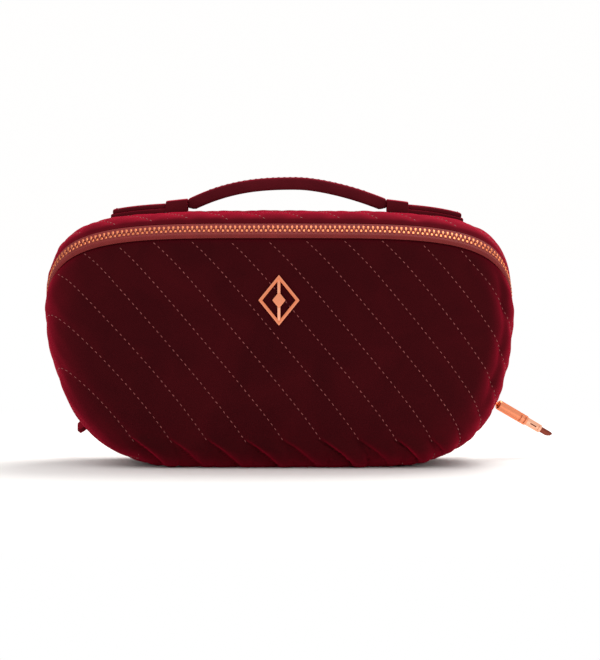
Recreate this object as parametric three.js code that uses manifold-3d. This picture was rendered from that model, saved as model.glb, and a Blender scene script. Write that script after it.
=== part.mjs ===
// A quilted velvet makeup bag of the clamshell kind, zipped shut and standing on its floor.
// Units are millimetres. X runs along the bag's width, -Y is the front, +Z is up, and z = 0 is the floor
// that the bag stands on. The front half (front, floor) and the lid half (back, top) meet in one slanting
// plane: it runs from the front-top edge, where the zip is, down to the cloth hinge at the back-bottom edge.

import * as THREE from "three";
import { mergeVertices } from "three/addons/utils/BufferGeometryUtils.js";
import Module from "manifold-3d";

const wasm = await Module();
wasm.setup();

// ---------------------------------------------------------------- driving dimensions

// The filled bag.
const BODY_WIDTH = 240;
const BODY_DEPTH = 84;
const RISE_ABOVE_WIDEST = 53.5;       // from the widest level up to the top
const DROP_BELOW_WIDEST = 78;         // from the widest level down to the lowest point, before it is flattened
const FLOOR_FLATTENING = 1.2;         // how far the soft floor is pressed flat where the bag stands
const PRESSED_BELOW = 1.4;            // velvet lower than this is pressed down onto the floor too
const UPPER_CORNER_POWER = 4.1;       // how square the two upper corners are, seen from the front
const LOWER_CORNER_POWER = 4.6;
const EDGE_POWER = 4.5;               // how square the edges between front, sides and back are
const LOWER_TAPER = 0.14;             // how much the sides draw in towards the floor
const TAPER_POWER = 1.5;

// The slanting plane where the two halves meet.
const ZIP_FRONT_INSET = 8;            // behind the front face
const ZIP_TOP_DROP = 9;               // below the top
const HINGE_BACK_INSET = 2;           // in front of the back face
const HINGE_HEIGHT = 10;
const HINGE_AXIS_OUTSIDE = 0.4;       // the hinge line lies this far outside the cloth
const ZIP_END_RISE = 17;              // the zip ends this far above the hinge line, along the plane

// Layers of the wall, from the velvet inwards, with a small clearance between neighbours.
const CLEARANCE = 0.3;
const QUILT_THICKNESS = 2.8;
const STIFFENER_THICKNESS = 1.8;
const LINING_THICKNESS = 1.0;
const TAPE_THICKNESS = 0.8;
const TAPE_SHOWING = 5.2;             // from the middle of the zip to the velvet
const TAPE_SUNK = 1.0;                // face of the tape below the skin of the bag
const SEAM_BINDING_WIDTH = 4;
const SEAM_BINDING_THICKNESS = 1.0;

// Zip chain, slider and pull.
const TOOTH_THICKNESS = 1.4;
const TEETH_ROW_WIDTH = 1.5;
const CHAIN_GAP = 1.4;                // room for the slider's neck between the two rows
const NECK_THICKNESS = 0.8;
const SLIDER_WIDTH = 8.4;
const SLIDER_LENGTH = 9;
const SLIDER_PLATE = 1.0;
const SLIDER_PLAY = 1.0;
const SLIDER_CORNER_CUT = 0.45;       // share of half the slider's width
const SLIDER_ABOVE_ZIP_END = 6.2;     // middle of the closed slider above the end of the zip
const BRIDGE_RADIUS = 3.2;
const BRIDGE_WIRE = 1.2;
const PULL_OUT_ANGLE = 33.4;          // degrees that the pull points below the width, in the zip plane
const PULL_EYE_THICKNESS = 1.4;
const PULL_EYE_WALL = 1.0;
const PULL_EYE_NECK = 0.8;            // bare neck between the eye and the case
const SOCKET_DEPTH = 3;               // how far the eye's neck, the tube and the bullet go into their sockets
const GROOVE_DEPTH = 0.25;
const GROOVE_WIDTH = 0.9;
const GROOVES_FROM_END = [5, 2.2];    // where the case's two grooves start, before its open end
const PULL_CASE_DIAMETER = 5.0;
const PULL_CASE_LENGTH = 19;
const PULL_TUBE_DIAMETER = 4.1;
const PULL_TUBE_LENGTH = 9.5;
const PULL_BULLET_DIAMETER = 2.9;
const PULL_BULLET_LENGTH = 8;
const TIP_SLANT = 32;                 // degrees, of the cut across the bullet's tip

// Handle on the top.
const HANDLE_SHIFT = 4;               // middle of the handle to the right of the bag's middle
const HANDLE_DEPTH_PLACE = 2;         // middle of the handle behind the bag's middle
const STRAP_WIDTH = 15;
const HANDLE_LENGTH = 182;            // from tip to tip of the cloth patches under its ends
const END_SHORTER = 1;                // each end of the strap stops this far short of its patch's tip
const STRAP_LAYER = 2.0;
const KEEPER_SPACING = 114;           // middle to middle
const KEEPER_WIDTH = 11;
const KEEPER_THICKNESS = 1.2;
const HANDLE_RISE = 18;               // top of the arch above the top of the bag
const HANDLE_LAYER = 2.3;
const ARCH_POWER = 1.9;               // 2 is a parabola; less is straighter towards the keepers
const TONGUE_WIDTH = 4;               // where the strap is gathered as it leaves a keeper
const TONGUE_LENGTH = 3.6;

// Ornament on the front, a lozenge frame with a small lozenge in it.
const EMBLEM_RISE = 9;                // its middle above the widest level
const EMBLEM_HEIGHT = 26;
const EMBLEM_WIDTH = 21;
const EMBLEM_STROKE = 1.7;
const EMBLEM_THICKNESS = 1.4;
const POST_RADIUS = 0.8;
const BACKPLATE_RADIUS = 9;
const BACKPLATE_THICKNESS = 0.9;

// Fittings inside.
const POCKET_WIDTH = 140;
const POCKET_HEIGHT = 56;
const POCKET_FOOT = 36;               // lower edge above the floor
const CLOTH_THICKNESS = 0.8;
const BINDING_HEIGHT = 3.4;
const BAND_WIDTH = 130;
const BAND_HEIGHT = 18;
const BAND_FOOT = 58;
const TAB_WIDTH = 9.6;
const TAB_THICKNESS = 2.2;
const TAB_LENGTH = 15;
const STOP_LENGTH = 2.4;
const SEAT_GAP = 0.6;                 // between the curved lining and the corners of what is sewn flat to it

// ---------------------------------------------------------------- worked-out places

const WIDEST_LEVEL = DROP_BELOW_WIDEST - FLOOR_FLATTENING;
const BODY_TOP = WIDEST_LEVEL + RISE_ABOVE_WIDEST;
const FAR = 400;
const MESH_ALONG = [14, 4, 12];       // steps along the width, depth and height of the body's mesh
const BELT_STEPS = 60;                // steps of the zip round the bag
const EDGE_CROWDING = 0.6;            // below 1, the steps get shorter towards the edges

// ---------------------------------------------------------------- solids and booleans

function toManifold(geometry) {
  const bare = geometry.clone();
  bare.deleteAttribute("normal");
  bare.deleteAttribute("uv");
  const merged = mergeVertices(bare, 1e-4);
  return new wasm.Manifold(new wasm.Mesh({
    numProp: 3,
    vertProperties: new Float32Array(merged.attributes.position.array),
    triVerts: new Uint32Array(merged.index.array),
  }));
}

function toGeometry(solid) {
  const mesh = solid.getMesh();
  const geometry = new THREE.BufferGeometry();
  geometry.setAttribute("position", new THREE.BufferAttribute(new Float32Array(mesh.vertProperties), 3));
  geometry.setIndex(new THREE.BufferAttribute(new Uint32Array(mesh.triVerts), 1));
  geometry.computeVertexNormals();
  return geometry;
}

// A box between two corners.
function boxBetween(low, high) {
  const size = high.map((value, axis) => value - low[axis]);
  const geometry = new THREE.BoxGeometry(...size);
  geometry.translate(...low.map((value, axis) => value + size[axis] / 2));
  return toManifold(geometry);
}

// ---------------------------------------------------------------- shape of the filled bag

// Less than 1 inside the bag, 1 on its skin, more than 1 outside. z is measured from the widest level.
function fullness(x, y, z) {
  const rise = Math.abs(z) / (z >= 0 ? RISE_ABOVE_WIDEST : DROP_BELOW_WIDEST);
  const power = z >= 0 ? UPPER_CORNER_POWER : LOWER_CORNER_POWER;
  const taper = z >= 0 ? 1 : 1 - LOWER_TAPER * Math.min(rise, 1) ** TAPER_POWER;
  const across = Math.abs(x) / (BODY_WIDTH / 2 * taper);
  const deep = Math.abs(y) / (BODY_DEPTH / 2);
  return (across ** power + rise ** power) ** (EDGE_POWER / power) + deep ** EDGE_POWER;
}

// How far along a direction the skin lies, from a start inside the bag.
function reach(start, direction) {
  let inside = 0;
  let outside = FAR;
  for (let step = 0; step < 50; step += 1) {
    const middle = (inside + outside) / 2;
    const point = start.clone().addScaledVector(direction, middle);
    if (fullness(point.x, point.y, point.z) > 1) outside = middle;
    else inside = middle;
  }
  return inside;
}

function skinNormal(point) {
  const small = 1e-3;
  const slope = (dx, dy, dz) => fullness(point.x + dx, point.y + dy, point.z + dz)
    - fullness(point.x - dx, point.y - dy, point.z - dz);
  return new THREE.Vector3(slope(small, 0, 0), slope(0, small, 0), slope(0, 0, small)).normalize();
}

// Points of a segmented box, crowded towards its edges, are sent out to the skin and then back in by depth.
const bodies = new Map();
function body(depth) {
  if (bodies.has(depth)) return bodies.get(depth);
  const geometry = new THREE.BoxGeometry(2, 2, 2, ...MESH_ALONG);
  const places = geometry.attributes.position;
  const middle = new THREE.Vector3(0, 0, 0);
  for (let index = 0; index < places.count; index += 1) {
    const crowd = (value) => Math.sign(value) * Math.abs(value) ** EDGE_CROWDING;
    const z = crowd(places.getZ(index));
    const direction = new THREE.Vector3(
      crowd(places.getX(index)) * BODY_WIDTH / 2,
      crowd(places.getY(index)) * BODY_DEPTH / 2,
      z * (z >= 0 ? RISE_ABOVE_WIDEST : DROP_BELOW_WIDEST),
    );
    const skin = direction.clone().multiplyScalar(reach(middle, direction));
    skin.addScaledVector(skinNormal(skin), -depth);
    const level = skin.z + WIDEST_LEVEL;
    places.setXYZ(index, skin.x, skin.y, depth === 0 && level < PRESSED_BELOW ? -FLOOR_FLATTENING : level);
  }
  const solid = toManifold(geometry);
  bodies.set(depth, solid);
  return solid;
}

// Height of the bag's top over a place on it.
function topLevel(x) {
  const start = new THREE.Vector3(x, HANDLE_DEPTH_PLACE, 0);
  return WIDEST_LEVEL + reach(start, new THREE.Vector3(0, 0, 1));
}

// ---------------------------------------------------------------- the slanting plane

// In the plane, x runs along the width and u up the slope from the hinge; s is the distance from the plane,
// positive on the lid's side.
const zipEdge = new THREE.Vector3(0, ZIP_FRONT_INSET - BODY_DEPTH / 2, BODY_TOP - ZIP_TOP_DROP);
const hingeAim = new THREE.Vector3(0, BODY_DEPTH / 2 - HINGE_BACK_INSET, HINGE_HEIGHT);
const upSlope = zipEdge.clone().sub(hingeAim).normalize();
const acrossPlane = new THREE.Vector3().crossVectors(upSlope, new THREE.Vector3(1, 0, 0)).normalize();
const middleOfSlope = zipEdge.clone().add(hingeAim).multiplyScalar(0.5);
const middleFromWidest = middleOfSlope.clone().setZ(middleOfSlope.z - WIDEST_LEVEL);
const downReach = reach(middleFromWidest, upSlope.clone().negate());
const hingeLine = middleOfSlope.clone().addScaledVector(upSlope, -(downReach + HINGE_AXIS_OUTSIDE));
const slant = Math.atan2(acrossPlane.z, acrossPlane.y);

function onPlane(x, u, s = 0) {
  return hingeLine.clone().setX(x).addScaledVector(upSlope, u).addScaledVector(acrossPlane, s);
}

// Everything between two distances from the plane and between two heights up its slope.
function slab(sFrom, sTo, uFrom = -FAR, uTo = FAR) {
  const geometry = new THREE.BoxGeometry(FAR, sTo - sFrom, uTo - uFrom);
  geometry.translate(0, (sTo + sFrom) / 2, (uTo + uFrom) / 2);
  geometry.rotateX(slant);
  geometry.translate(hingeLine.x, hingeLine.y, hingeLine.z);
  return toManifold(geometry);
}

// A layer of the wall between two depths under the skin, cut by a slab.
function layer(outerDepth, innerDepth, ...limits) {
  return body(outerDepth).subtract(body(innerDepth)).intersect(slab(...limits));
}

// Half of the slab, given by distances from the plane on the front (-1) or lid (+1) side.
function sideLimits(side, near, far) {
  return side < 0 ? [-far, -near] : [near, far];
}

// The point where a ray in the slanting plane leaves the bag, and the outward direction there in that plane.
function edgeOfSection(start, ray) {
  const fromWidest = start.clone().setZ(start.z - WIDEST_LEVEL);
  const skin = fromWidest.addScaledVector(ray, reach(fromWidest, ray));
  const outward = skinNormal(skin);
  outward.addScaledVector(acrossPlane, -outward.dot(acrossPlane)).normalize();
  skin.z += WIDEST_LEVEL;
  return { skin, outward };
}

// A place of the zip on the right side, this far up the slope.
function rightEdge(u, depth) {
  const { skin, outward } = edgeOfSection(onPlane(0, u), new THREE.Vector3(1, 0, 0));
  return { point: skin.addScaledVector(outward, -depth), outward };
}

// A belt lies round the edge of the section, flat across: from one end of the zip, over the top, to the other.
const beltCentre = onPlane(0, ZIP_END_RISE);
function belt(outerDepth, innerDepth, sFrom, sTo, angleFrom = 0, angleTo = Math.PI, steps = BELT_STEPS) {
  const outer = [];
  const inner = [];
  for (let step = 0; step <= steps; step += 1) {
    const angle = angleFrom + (angleTo - angleFrom) * step / steps;
    const ray = new THREE.Vector3(Math.cos(angle), 0, 0).addScaledVector(upSlope, Math.sin(angle));
    const { skin, outward } = edgeOfSection(beltCentre, ray);
    for (const [depth, line] of [[outerDepth, outer], [innerDepth, inner]]) {
      const point = skin.clone().addScaledVector(outward, -depth);
      line.push(new THREE.Vector2(point.x, point.clone().sub(hingeLine).dot(upSlope)));
    }
  }
  const outline = new THREE.Shape([...outer, ...inner.reverse()]);
  const geometry = new THREE.ExtrudeGeometry(outline, { depth: sTo - sFrom, bevelEnabled: false });
  geometry.applyMatrix4(new THREE.Matrix4().makeBasis(
    new THREE.Vector3(1, 0, 0), upSlope, acrossPlane.clone().negate(),
  ).setPosition(onPlane(0, 0, sTo)));
  return toManifold(geometry);
}

// ---------------------------------------------------------------- depths of the layers

const liningDepth = QUILT_THICKNESS + CLEARANCE + STIFFENER_THICKNESS + CLEARANCE;
const innerDepth = liningDepth + LINING_THICKNESS;
const stiffenerDepth = QUILT_THICKNESS + CLEARANCE;
const tapeInnerDepth = TAPE_SUNK + TAPE_THICKNESS;
const teethDepth = TAPE_SUNK + TAPE_THICKNESS / 2 - TOOTH_THICKNESS / 2;
const teethOuterEdge = CHAIN_GAP / 2 + TEETH_ROW_WIDTH;
const tapeOuterEdge = TAPE_SHOWING - CLEARANCE;
const hingeLipTop = ZIP_END_RISE - STOP_LENGTH - TAB_THICKNESS - 4 * CLEARANCE;

// ---------------------------------------------------------------- materials

function finish(color, roughness, metalness = 0) {
  return new THREE.MeshStandardMaterial({ color, roughness, metalness });
}
const velvet = () => finish(0x5a0d18, 0.95);
const velvetStrap = () => finish(0x6a1420, 0.9);
const foam = () => finish(0xcfc6b8, 0.95);
const satin = () => finish(0x3a0b14, 0.55);
const tapeCloth = () => finish(0x8c3436, 0.85);
const roseGold = () => finish(0xe6936a, 0.25, 1);
const paleRoseGold = () => finish(0xf2bb9a, 0.25, 1);
const copper = () => finish(0x8c4232, 0.3, 1);

const bag = new THREE.Group();
function place(name, geometry, material, parent = bag) {
  const mesh = new THREE.Mesh(geometry, material);
  mesh.name = name;
  parent.add(mesh);
  return mesh;
}
function placeSolid(name, solid, material) {
  return place(name, toGeometry(solid), material);
}

// ---------------------------------------------------------------- emblem, in front of the front shell

const emblemLevel = WIDEST_LEVEL + EMBLEM_RISE;
const frontFace = -BODY_DEPTH / 2;
const postRise = EMBLEM_HEIGHT / 2 - EMBLEM_STROKE * 1.2;
const postPlaces = [emblemLevel + postRise, emblemLevel - postRise];
const backplateFront = frontFace + stiffenerDepth + CLEARANCE;

// A cylinder along Y between two places.
function post(radius, x, z, yFrom, yTo, sides = 12) {
  const geometry = new THREE.CylinderGeometry(radius, radius, yTo - yFrom, sides);
  geometry.translate(x, (yFrom + yTo) / 2, z);
  return toManifold(geometry);
}

function lozenge(halfWidth, halfHeight) {
  return [
    new THREE.Vector2(halfWidth, 0),
    new THREE.Vector2(0, halfHeight),
    new THREE.Vector2(-halfWidth, 0),
    new THREE.Vector2(0, -halfHeight),
  ];
}

// A flat plate of lozenge outline standing in the XZ plane, facing the front.
function lozengePlate(halfWidth, halfHeight, thickness) {
  const geometry = new THREE.ExtrudeGeometry(new THREE.Shape(lozenge(halfWidth, halfHeight)), {
    depth: thickness, bevelEnabled: false,
  });
  geometry.rotateX(Math.PI / 2);
  geometry.translate(0, thickness, 0);
  return toManifold(geometry);
}

function emblem() {
  const halfWidth = EMBLEM_WIDTH / 2;
  const halfHeight = EMBLEM_HEIGHT / 2;
  const widthShare = EMBLEM_STROKE * Math.hypot(1, EMBLEM_WIDTH / EMBLEM_HEIGHT);
  const heightShare = EMBLEM_STROKE * Math.hypot(1, EMBLEM_HEIGHT / EMBLEM_WIDTH);
  const outer = lozengePlate(halfWidth, halfHeight, EMBLEM_THICKNESS);
  const opening = lozengePlate(halfWidth - widthShare, halfHeight - heightShare, EMBLEM_THICKNESS * 3)
    .translate([0, -EMBLEM_THICKNESS, 0]);
  const centre = lozengePlate(halfWidth / 3, halfHeight / 3, EMBLEM_THICKNESS);
  const bar = EMBLEM_STROKE / 2;
  const upright = boxBetween([-bar, 0, -halfHeight + heightShare / 2],
    [bar, EMBLEM_THICKNESS, halfHeight - heightShare / 2]);
  const back = frontFace - CLEARANCE;
  const flat = outer.subtract(opening).add(centre).add(upright)
    .translate([0, back - EMBLEM_THICKNESS, emblemLevel]);
  const postEnd = backplateFront + BACKPLATE_THICKNESS;
  return postPlaces.reduce(
    (solid, z) => solid.add(post(POST_RADIUS, 0, z, back - EMBLEM_THICKNESS / 2, postEnd)), flat,
  );
}

function cutPostHoles(solid) {
  return postPlaces.reduce(
    (rest, z) => rest.subtract(post(POST_RADIUS + CLEARANCE, 0, z, frontFace - 1, frontFace + 20)), solid,
  );
}

// Two washers on one plate, so that the back of the emblem can't pull through.
function backplate() {
  const ends = postPlaces.map((z) => post(BACKPLATE_RADIUS / 2, 0, z, backplateFront,
    backplateFront + BACKPLATE_THICKNESS, 16));
  const bridge = boxBetween([-BACKPLATE_RADIUS / 4, backplateFront, postPlaces[1]],
    [BACKPLATE_RADIUS / 4, backplateFront + BACKPLATE_THICKNESS, postPlaces[0]]);
  return cutPostHoles(ends[0].add(ends[1]).add(bridge));
}

// The stiffener is cut away round the backplate.
function backplateWindow() {
  return boxBetween(
    [-BACKPLATE_RADIUS / 2 - CLEARANCE, frontFace, postPlaces[1] - BACKPLATE_RADIUS / 2 - CLEARANCE],
    [BACKPLATE_RADIUS / 2 + CLEARANCE, frontFace + liningDepth, postPlaces[0] + BACKPLATE_RADIUS / 2 + CLEARANCE],
  );
}

// ---------------------------------------------------------------- walls of the two halves

const floorCut = boxBetween([-FAR, -FAR, -FAR], [FAR, FAR, 0]);

// The quilted shell stops beside the zip tape. Below the ends of the zip it runs on up to the plane itself,
// where the cloth hinge is.
function quiltedShell(side) {
  const panel = layer(0, QUILT_THICKNESS, ...sideLimits(side, TAPE_SHOWING, FAR));
  const hingeLip = layer(0, QUILT_THICKNESS, ...sideLimits(side, CLEARANCE / 2, TAPE_SHOWING + 1),
    -FAR, hingeLipTop);
  return panel.add(hingeLip).subtract(floorCut);
}

function stiffener(side) {
  return layer(stiffenerDepth, liningDepth - CLEARANCE, ...sideLimits(side, TAPE_SHOWING, FAR));
}

function lining(side) {
  return layer(liningDepth, innerDepth, ...sideLimits(side, TAPE_SHOWING, FAR));
}

// Bound seam inside, lying on the lining beside the zip.
function seamBinding(side) {
  return layer(innerDepth + CLEARANCE, innerDepth + CLEARANCE + SEAM_BINDING_THICKNESS,
    ...sideLimits(side, TAPE_SHOWING, TAPE_SHOWING + SEAM_BINDING_WIDTH), ZIP_END_RISE, FAR);
}

function zipTape(side) {
  return belt(TAPE_SUNK, tapeInnerDepth, ...sideLimits(side, teethOuterEdge + CLEARANCE, tapeOuterEdge));
}

function zipTeeth(side) {
  return belt(teethDepth, teethDepth + TOOTH_THICKNESS, ...sideLimits(side, CHAIN_GAP / 2, teethOuterEdge));
}

placeSolid("front_quilted_shell", cutPostHoles(quiltedShell(-1)), velvet());
placeSolid("front_stiffener", stiffener(-1).subtract(backplateWindow()), foam());
placeSolid("front_lining", lining(-1), satin());
placeSolid("front_seam_binding", seamBinding(-1), satin());
placeSolid("front_zip_tape", zipTape(-1), tapeCloth());
placeSolid("front_zip_teeth", zipTeeth(-1), roseGold());
placeSolid("emblem", emblem(), roseGold());
placeSolid("emblem_backplate", backplate(), roseGold());

placeSolid("back_quilted_shell", quiltedShell(1), velvet());
placeSolid("back_stiffener", stiffener(1), foam());
placeSolid("back_lining", lining(1), satin());
placeSolid("back_seam_binding", seamBinding(1), satin());
placeSolid("back_zip_tape", zipTape(1), tapeCloth());
placeSolid("back_zip_teeth", zipTeeth(1), roseGold());

// The strip of cloth that the hinge is folded from, sewn under the velvet of the front half.
placeSolid("hinge_strip", layer(stiffenerDepth, stiffenerDepth + TAPE_THICKNESS,
  -TAPE_SHOWING + CLEARANCE, -CLEARANCE / 2, -FAR, hingeLipTop), satin());

// ---------------------------------------------------------------- ends of the zip

// A folded tab of velvet over each end of the zip, standing out from the bag.
function endTab(side) {
  const { point, outward } = rightEdge(hingeLipTop + CLEARANCE + TAB_THICKNESS / 2, tapeInnerDepth);
  const geometry = new THREE.BoxGeometry(TAB_LENGTH, TAB_WIDTH, TAB_THICKNESS);
  geometry.translate(TAB_LENGTH / 2, 0, 0);
  const along = outward.clone();
  const up = new THREE.Vector3().crossVectors(along, acrossPlane);
  const turn = new THREE.Matrix4().makeBasis(along, acrossPlane, up).setPosition(point);
  geometry.applyMatrix4(turn);
  const solid = toManifold(geometry);
  return side > 0 ? solid : solid.mirror([1, 0, 0]);
}
placeSolid("zip_end_tab_left", endTab(-1), velvetStrap());
placeSolid("zip_end_tab_right", endTab(1), velvetStrap());

// Metal stops clamped across both rows of teeth, just past the two ends of the chain.
function zipStop(side) {
  const { point, outward } = rightEdge(ZIP_END_RISE, teethDepth);
  const geometry = new THREE.BoxGeometry(TOOTH_THICKNESS, teethOuterEdge * 2, STOP_LENGTH);
  geometry.translate(-TOOTH_THICKNESS / 2, 0, -CLEARANCE - STOP_LENGTH / 2);
  const up = new THREE.Vector3().crossVectors(outward, acrossPlane);
  geometry.applyMatrix4(new THREE.Matrix4().makeBasis(outward, acrossPlane, up).setPosition(point));
  const solid = toManifold(geometry);
  return side > 0 ? solid : solid.mirror([1, 0, 0]);
}
placeSolid("zip_top_stop", zipStop(-1), roseGold());
placeSolid("zip_bottom_stop", zipStop(1), roseGold());

// ---------------------------------------------------------------- slider and pull

// Slider group: local X points away from the bag, Y across the tape, Z up along the zip. Its origin lies
// in the middle of the thickness of the teeth.
const sliderPlace = rightEdge(ZIP_END_RISE + SLIDER_ABOVE_ZIP_END, teethDepth + TOOTH_THICKNESS / 2);
const sliderUp = new THREE.Vector3().crossVectors(sliderPlace.outward, acrossPlane).normalize();
const slider = new THREE.Group();
slider.applyMatrix4(new THREE.Matrix4()
  .makeBasis(sliderPlace.outward, acrossPlane, sliderUp).setPosition(sliderPlace.point));
bag.add(slider);

const plateInside = TOOTH_THICKNESS / 2 + SLIDER_PLAY;
const plateOutside = plateInside + SLIDER_PLATE;

// Two plates with cut corners, joined by the neck that runs between the rows of teeth.
function sliderBody() {
  const halfWidth = SLIDER_WIDTH / 2;
  const halfLength = SLIDER_LENGTH / 2;
  const corner = halfWidth * SLIDER_CORNER_CUT;
  const outline = new THREE.Shape([
    new THREE.Vector2(-halfWidth + corner, -halfLength),
    new THREE.Vector2(halfWidth - corner, -halfLength),
    new THREE.Vector2(halfWidth, -halfLength + corner),
    new THREE.Vector2(halfWidth, halfLength - corner),
    new THREE.Vector2(halfWidth - corner, halfLength),
    new THREE.Vector2(-halfWidth + corner, halfLength),
    new THREE.Vector2(-halfWidth, halfLength - corner),
    new THREE.Vector2(-halfWidth, -halfLength + corner),
  ]);
  const plate = new THREE.ExtrudeGeometry(outline, { depth: SLIDER_PLATE, bevelEnabled: false });
  const toSlider = new THREE.Matrix4().makeBasis(
    new THREE.Vector3(0, 1, 0), new THREE.Vector3(0, 0, 1), new THREE.Vector3(1, 0, 0),
  );
  plate.applyMatrix4(toSlider);
  const one = toManifold(plate);
  const neck = boxBetween([-plateInside - SLIDER_PLATE / 2, -NECK_THICKNESS / 2, -halfLength / 3],
    [plateInside + SLIDER_PLATE / 2, NECK_THICKNESS / 2, halfLength * 0.8]);
  return one.translate([plateInside, 0, 0]).add(one.translate([-plateOutside, 0, 0])).add(neck);
}
place("slider_body", toGeometry(sliderBody()), roseGold(), slider);

// The bridge: a wire arch over the outer plate that the pull's eye slides on.
const bridgeFoot = plateOutside + CLEARANCE;
const bridgeCentre = bridgeFoot + BRIDGE_WIRE;
function bridge() {
  const path = new THREE.CurvePath();
  const half = Math.PI / 2;
  const arc = Array.from({ length: 13 }, (_, step) => {
    const angle = -half + half * 2 * step / 12;
    return new THREE.Vector3(bridgeCentre + BRIDGE_RADIUS * Math.cos(angle), 0, BRIDGE_RADIUS * Math.sin(angle));
  });
  const stations = [new THREE.Vector3(bridgeFoot, 0, -BRIDGE_RADIUS), ...arc,
    new THREE.Vector3(bridgeFoot, 0, BRIDGE_RADIUS)];
  for (let index = 1; index < stations.length; index += 1) {
    path.add(new THREE.LineCurve3(stations[index - 1], stations[index]));
  }
  const section = new THREE.Shape().absellipse(0, 0, BRIDGE_WIRE / 2, BRIDGE_WIRE / 2, 0, Math.PI * 2);
  return new THREE.ExtrudeGeometry(section, { extrudePath: path, steps: 14, curveSegments: 4 });
}
place("slider_bridge", bridge(), roseGold(), slider);

// Pull group: its origin is the middle of the bridge's arch, and local X runs along the pull.
const pullDirection = new THREE.Vector3(Math.cos(THREE.MathUtils.degToRad(PULL_OUT_ANGLE)), 0, 0)
  .addScaledVector(upSlope, -Math.sin(THREE.MathUtils.degToRad(PULL_OUT_ANGLE)));
const pullCentre = sliderPlace.point.clone().addScaledVector(sliderPlace.outward, bridgeCentre);
const pull = new THREE.Group();
pull.applyMatrix4(new THREE.Matrix4().makeBasis(
  pullDirection, acrossPlane, new THREE.Vector3().crossVectors(pullDirection, acrossPlane),
).setPosition(pullCentre));
bag.add(pull);

// A flat eye round the bridge's wire, and its neck, which goes into the case.
const eyeHole = BRIDGE_WIRE / 2 + CLEARANCE * 1.5;
const eyeRadius = eyeHole + PULL_EYE_WALL;
const caseStart = BRIDGE_RADIUS + eyeRadius + PULL_EYE_NECK;
const neckRadius = PULL_CASE_DIAMETER / 4;
function pullEye() {
  const ring = new THREE.Shape().absellipse(BRIDGE_RADIUS, 0, eyeRadius, eyeRadius, 0, Math.PI * 2);
  ring.holes.push(new THREE.Path().absellipse(BRIDGE_RADIUS, 0, eyeHole, eyeHole, 0, Math.PI * 2, true));
  const flat = new THREE.ExtrudeGeometry(ring, {
    depth: PULL_EYE_THICKNESS, bevelEnabled: false, curveSegments: 20,
  });
  flat.translate(0, 0, -PULL_EYE_THICKNESS / 2);
  const neckFrom = BRIDGE_RADIUS + eyeHole + PULL_EYE_WALL / 4;
  const neckTo = caseStart + SOCKET_DEPTH - CLEARANCE;
  const neck = new THREE.CylinderGeometry(neckRadius, neckRadius, neckTo - neckFrom, 12);
  neck.rotateZ(Math.PI / 2);
  neck.translate((neckFrom + neckTo) / 2, 0, 0);
  return toManifold(flat).add(toManifold(neck));
}
place("pull_eye", toGeometry(pullEye()), roseGold(), pull);

// A round piece of the pull, turned about its length. The profile is [distance along, radius] pairs.
function turned(profile, sides = 14) {
  const geometry = new THREE.LatheGeometry(profile.map(([along, radius]) => new THREE.Vector2(radius, along)), sides);
  geometry.rotateZ(-Math.PI / 2);
  return geometry;
}

// The case: a plain barrel with two turned grooves near its open end and a socket at each end.
const caseEnd = caseStart + PULL_CASE_LENGTH;
const caseRadius = PULL_CASE_DIAMETER / 2;
const tubeRadius = PULL_TUBE_DIAMETER / 2;
const bulletRadius = PULL_BULLET_DIAMETER / 2;
function pullCase() {
  const grooves = GROOVES_FROM_END.flatMap((fromEnd) => {
    const start = caseEnd - fromEnd;
    return [
      [start, caseRadius],
      [start + GROOVE_WIDTH / 4, caseRadius - GROOVE_DEPTH],
      [start + GROOVE_WIDTH * 3 / 4, caseRadius - GROOVE_DEPTH],
      [start + GROOVE_WIDTH, caseRadius],
    ];
  });
  return turned([
    [caseStart + SOCKET_DEPTH, 0],
    [caseStart + SOCKET_DEPTH, neckRadius + CLEARANCE],
    [caseStart, neckRadius + CLEARANCE],
    [caseStart, caseRadius - GROOVE_DEPTH],
    [caseStart + GROOVE_DEPTH, caseRadius],
    ...grooves,
    [caseEnd, caseRadius],
    [caseEnd, tubeRadius + CLEARANCE],
    [caseEnd - SOCKET_DEPTH, tubeRadius + CLEARANCE],
    [caseEnd - SOCKET_DEPTH, 0],
  ]);
}
place("pull_case", pullCase(), roseGold(), pull);

const tubeStart = caseEnd - SOCKET_DEPTH + CLEARANCE;
const tubeEnd = caseEnd + PULL_TUBE_LENGTH;
function pullTube() {
  return turned([
    [tubeStart, 0],
    [tubeStart, tubeRadius],
    [tubeEnd - GROOVE_DEPTH, tubeRadius],
    [tubeEnd, tubeRadius - GROOVE_DEPTH],
    [tubeEnd, bulletRadius + CLEARANCE],
    [tubeEnd - SOCKET_DEPTH, bulletRadius + CLEARANCE],
    [tubeEnd - SOCKET_DEPTH, 0],
  ]);
}
place("pull_tube", pullTube(), paleRoseGold(), pull);

// The bullet: a round stick with a slanting cut at its tip.
function pullBullet() {
  const start = tubeEnd - SOCKET_DEPTH + CLEARANCE;
  const end = tubeEnd + PULL_BULLET_LENGTH;
  const stick = toManifold(turned([
    [start, 0],
    [start, bulletRadius],
    [end - bulletRadius, bulletRadius],
    [end - bulletRadius * 0.35, bulletRadius * 0.75],
    [end, bulletRadius * 0.3],
    [end, 0],
  ], 16));
  const knife = new THREE.BoxGeometry(FAR, FAR, FAR);
  knife.translate(0, 0, FAR / 2);
  knife.rotateY(THREE.MathUtils.degToRad(TIP_SLANT));
  knife.translate(end - bulletRadius * 2.4, 0, bulletRadius);
  return toGeometry(stick.subtract(toManifold(knife)));
}
place("pull_bullet", pullBullet(), copper(), pull);

// ---------------------------------------------------------------- handle

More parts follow.
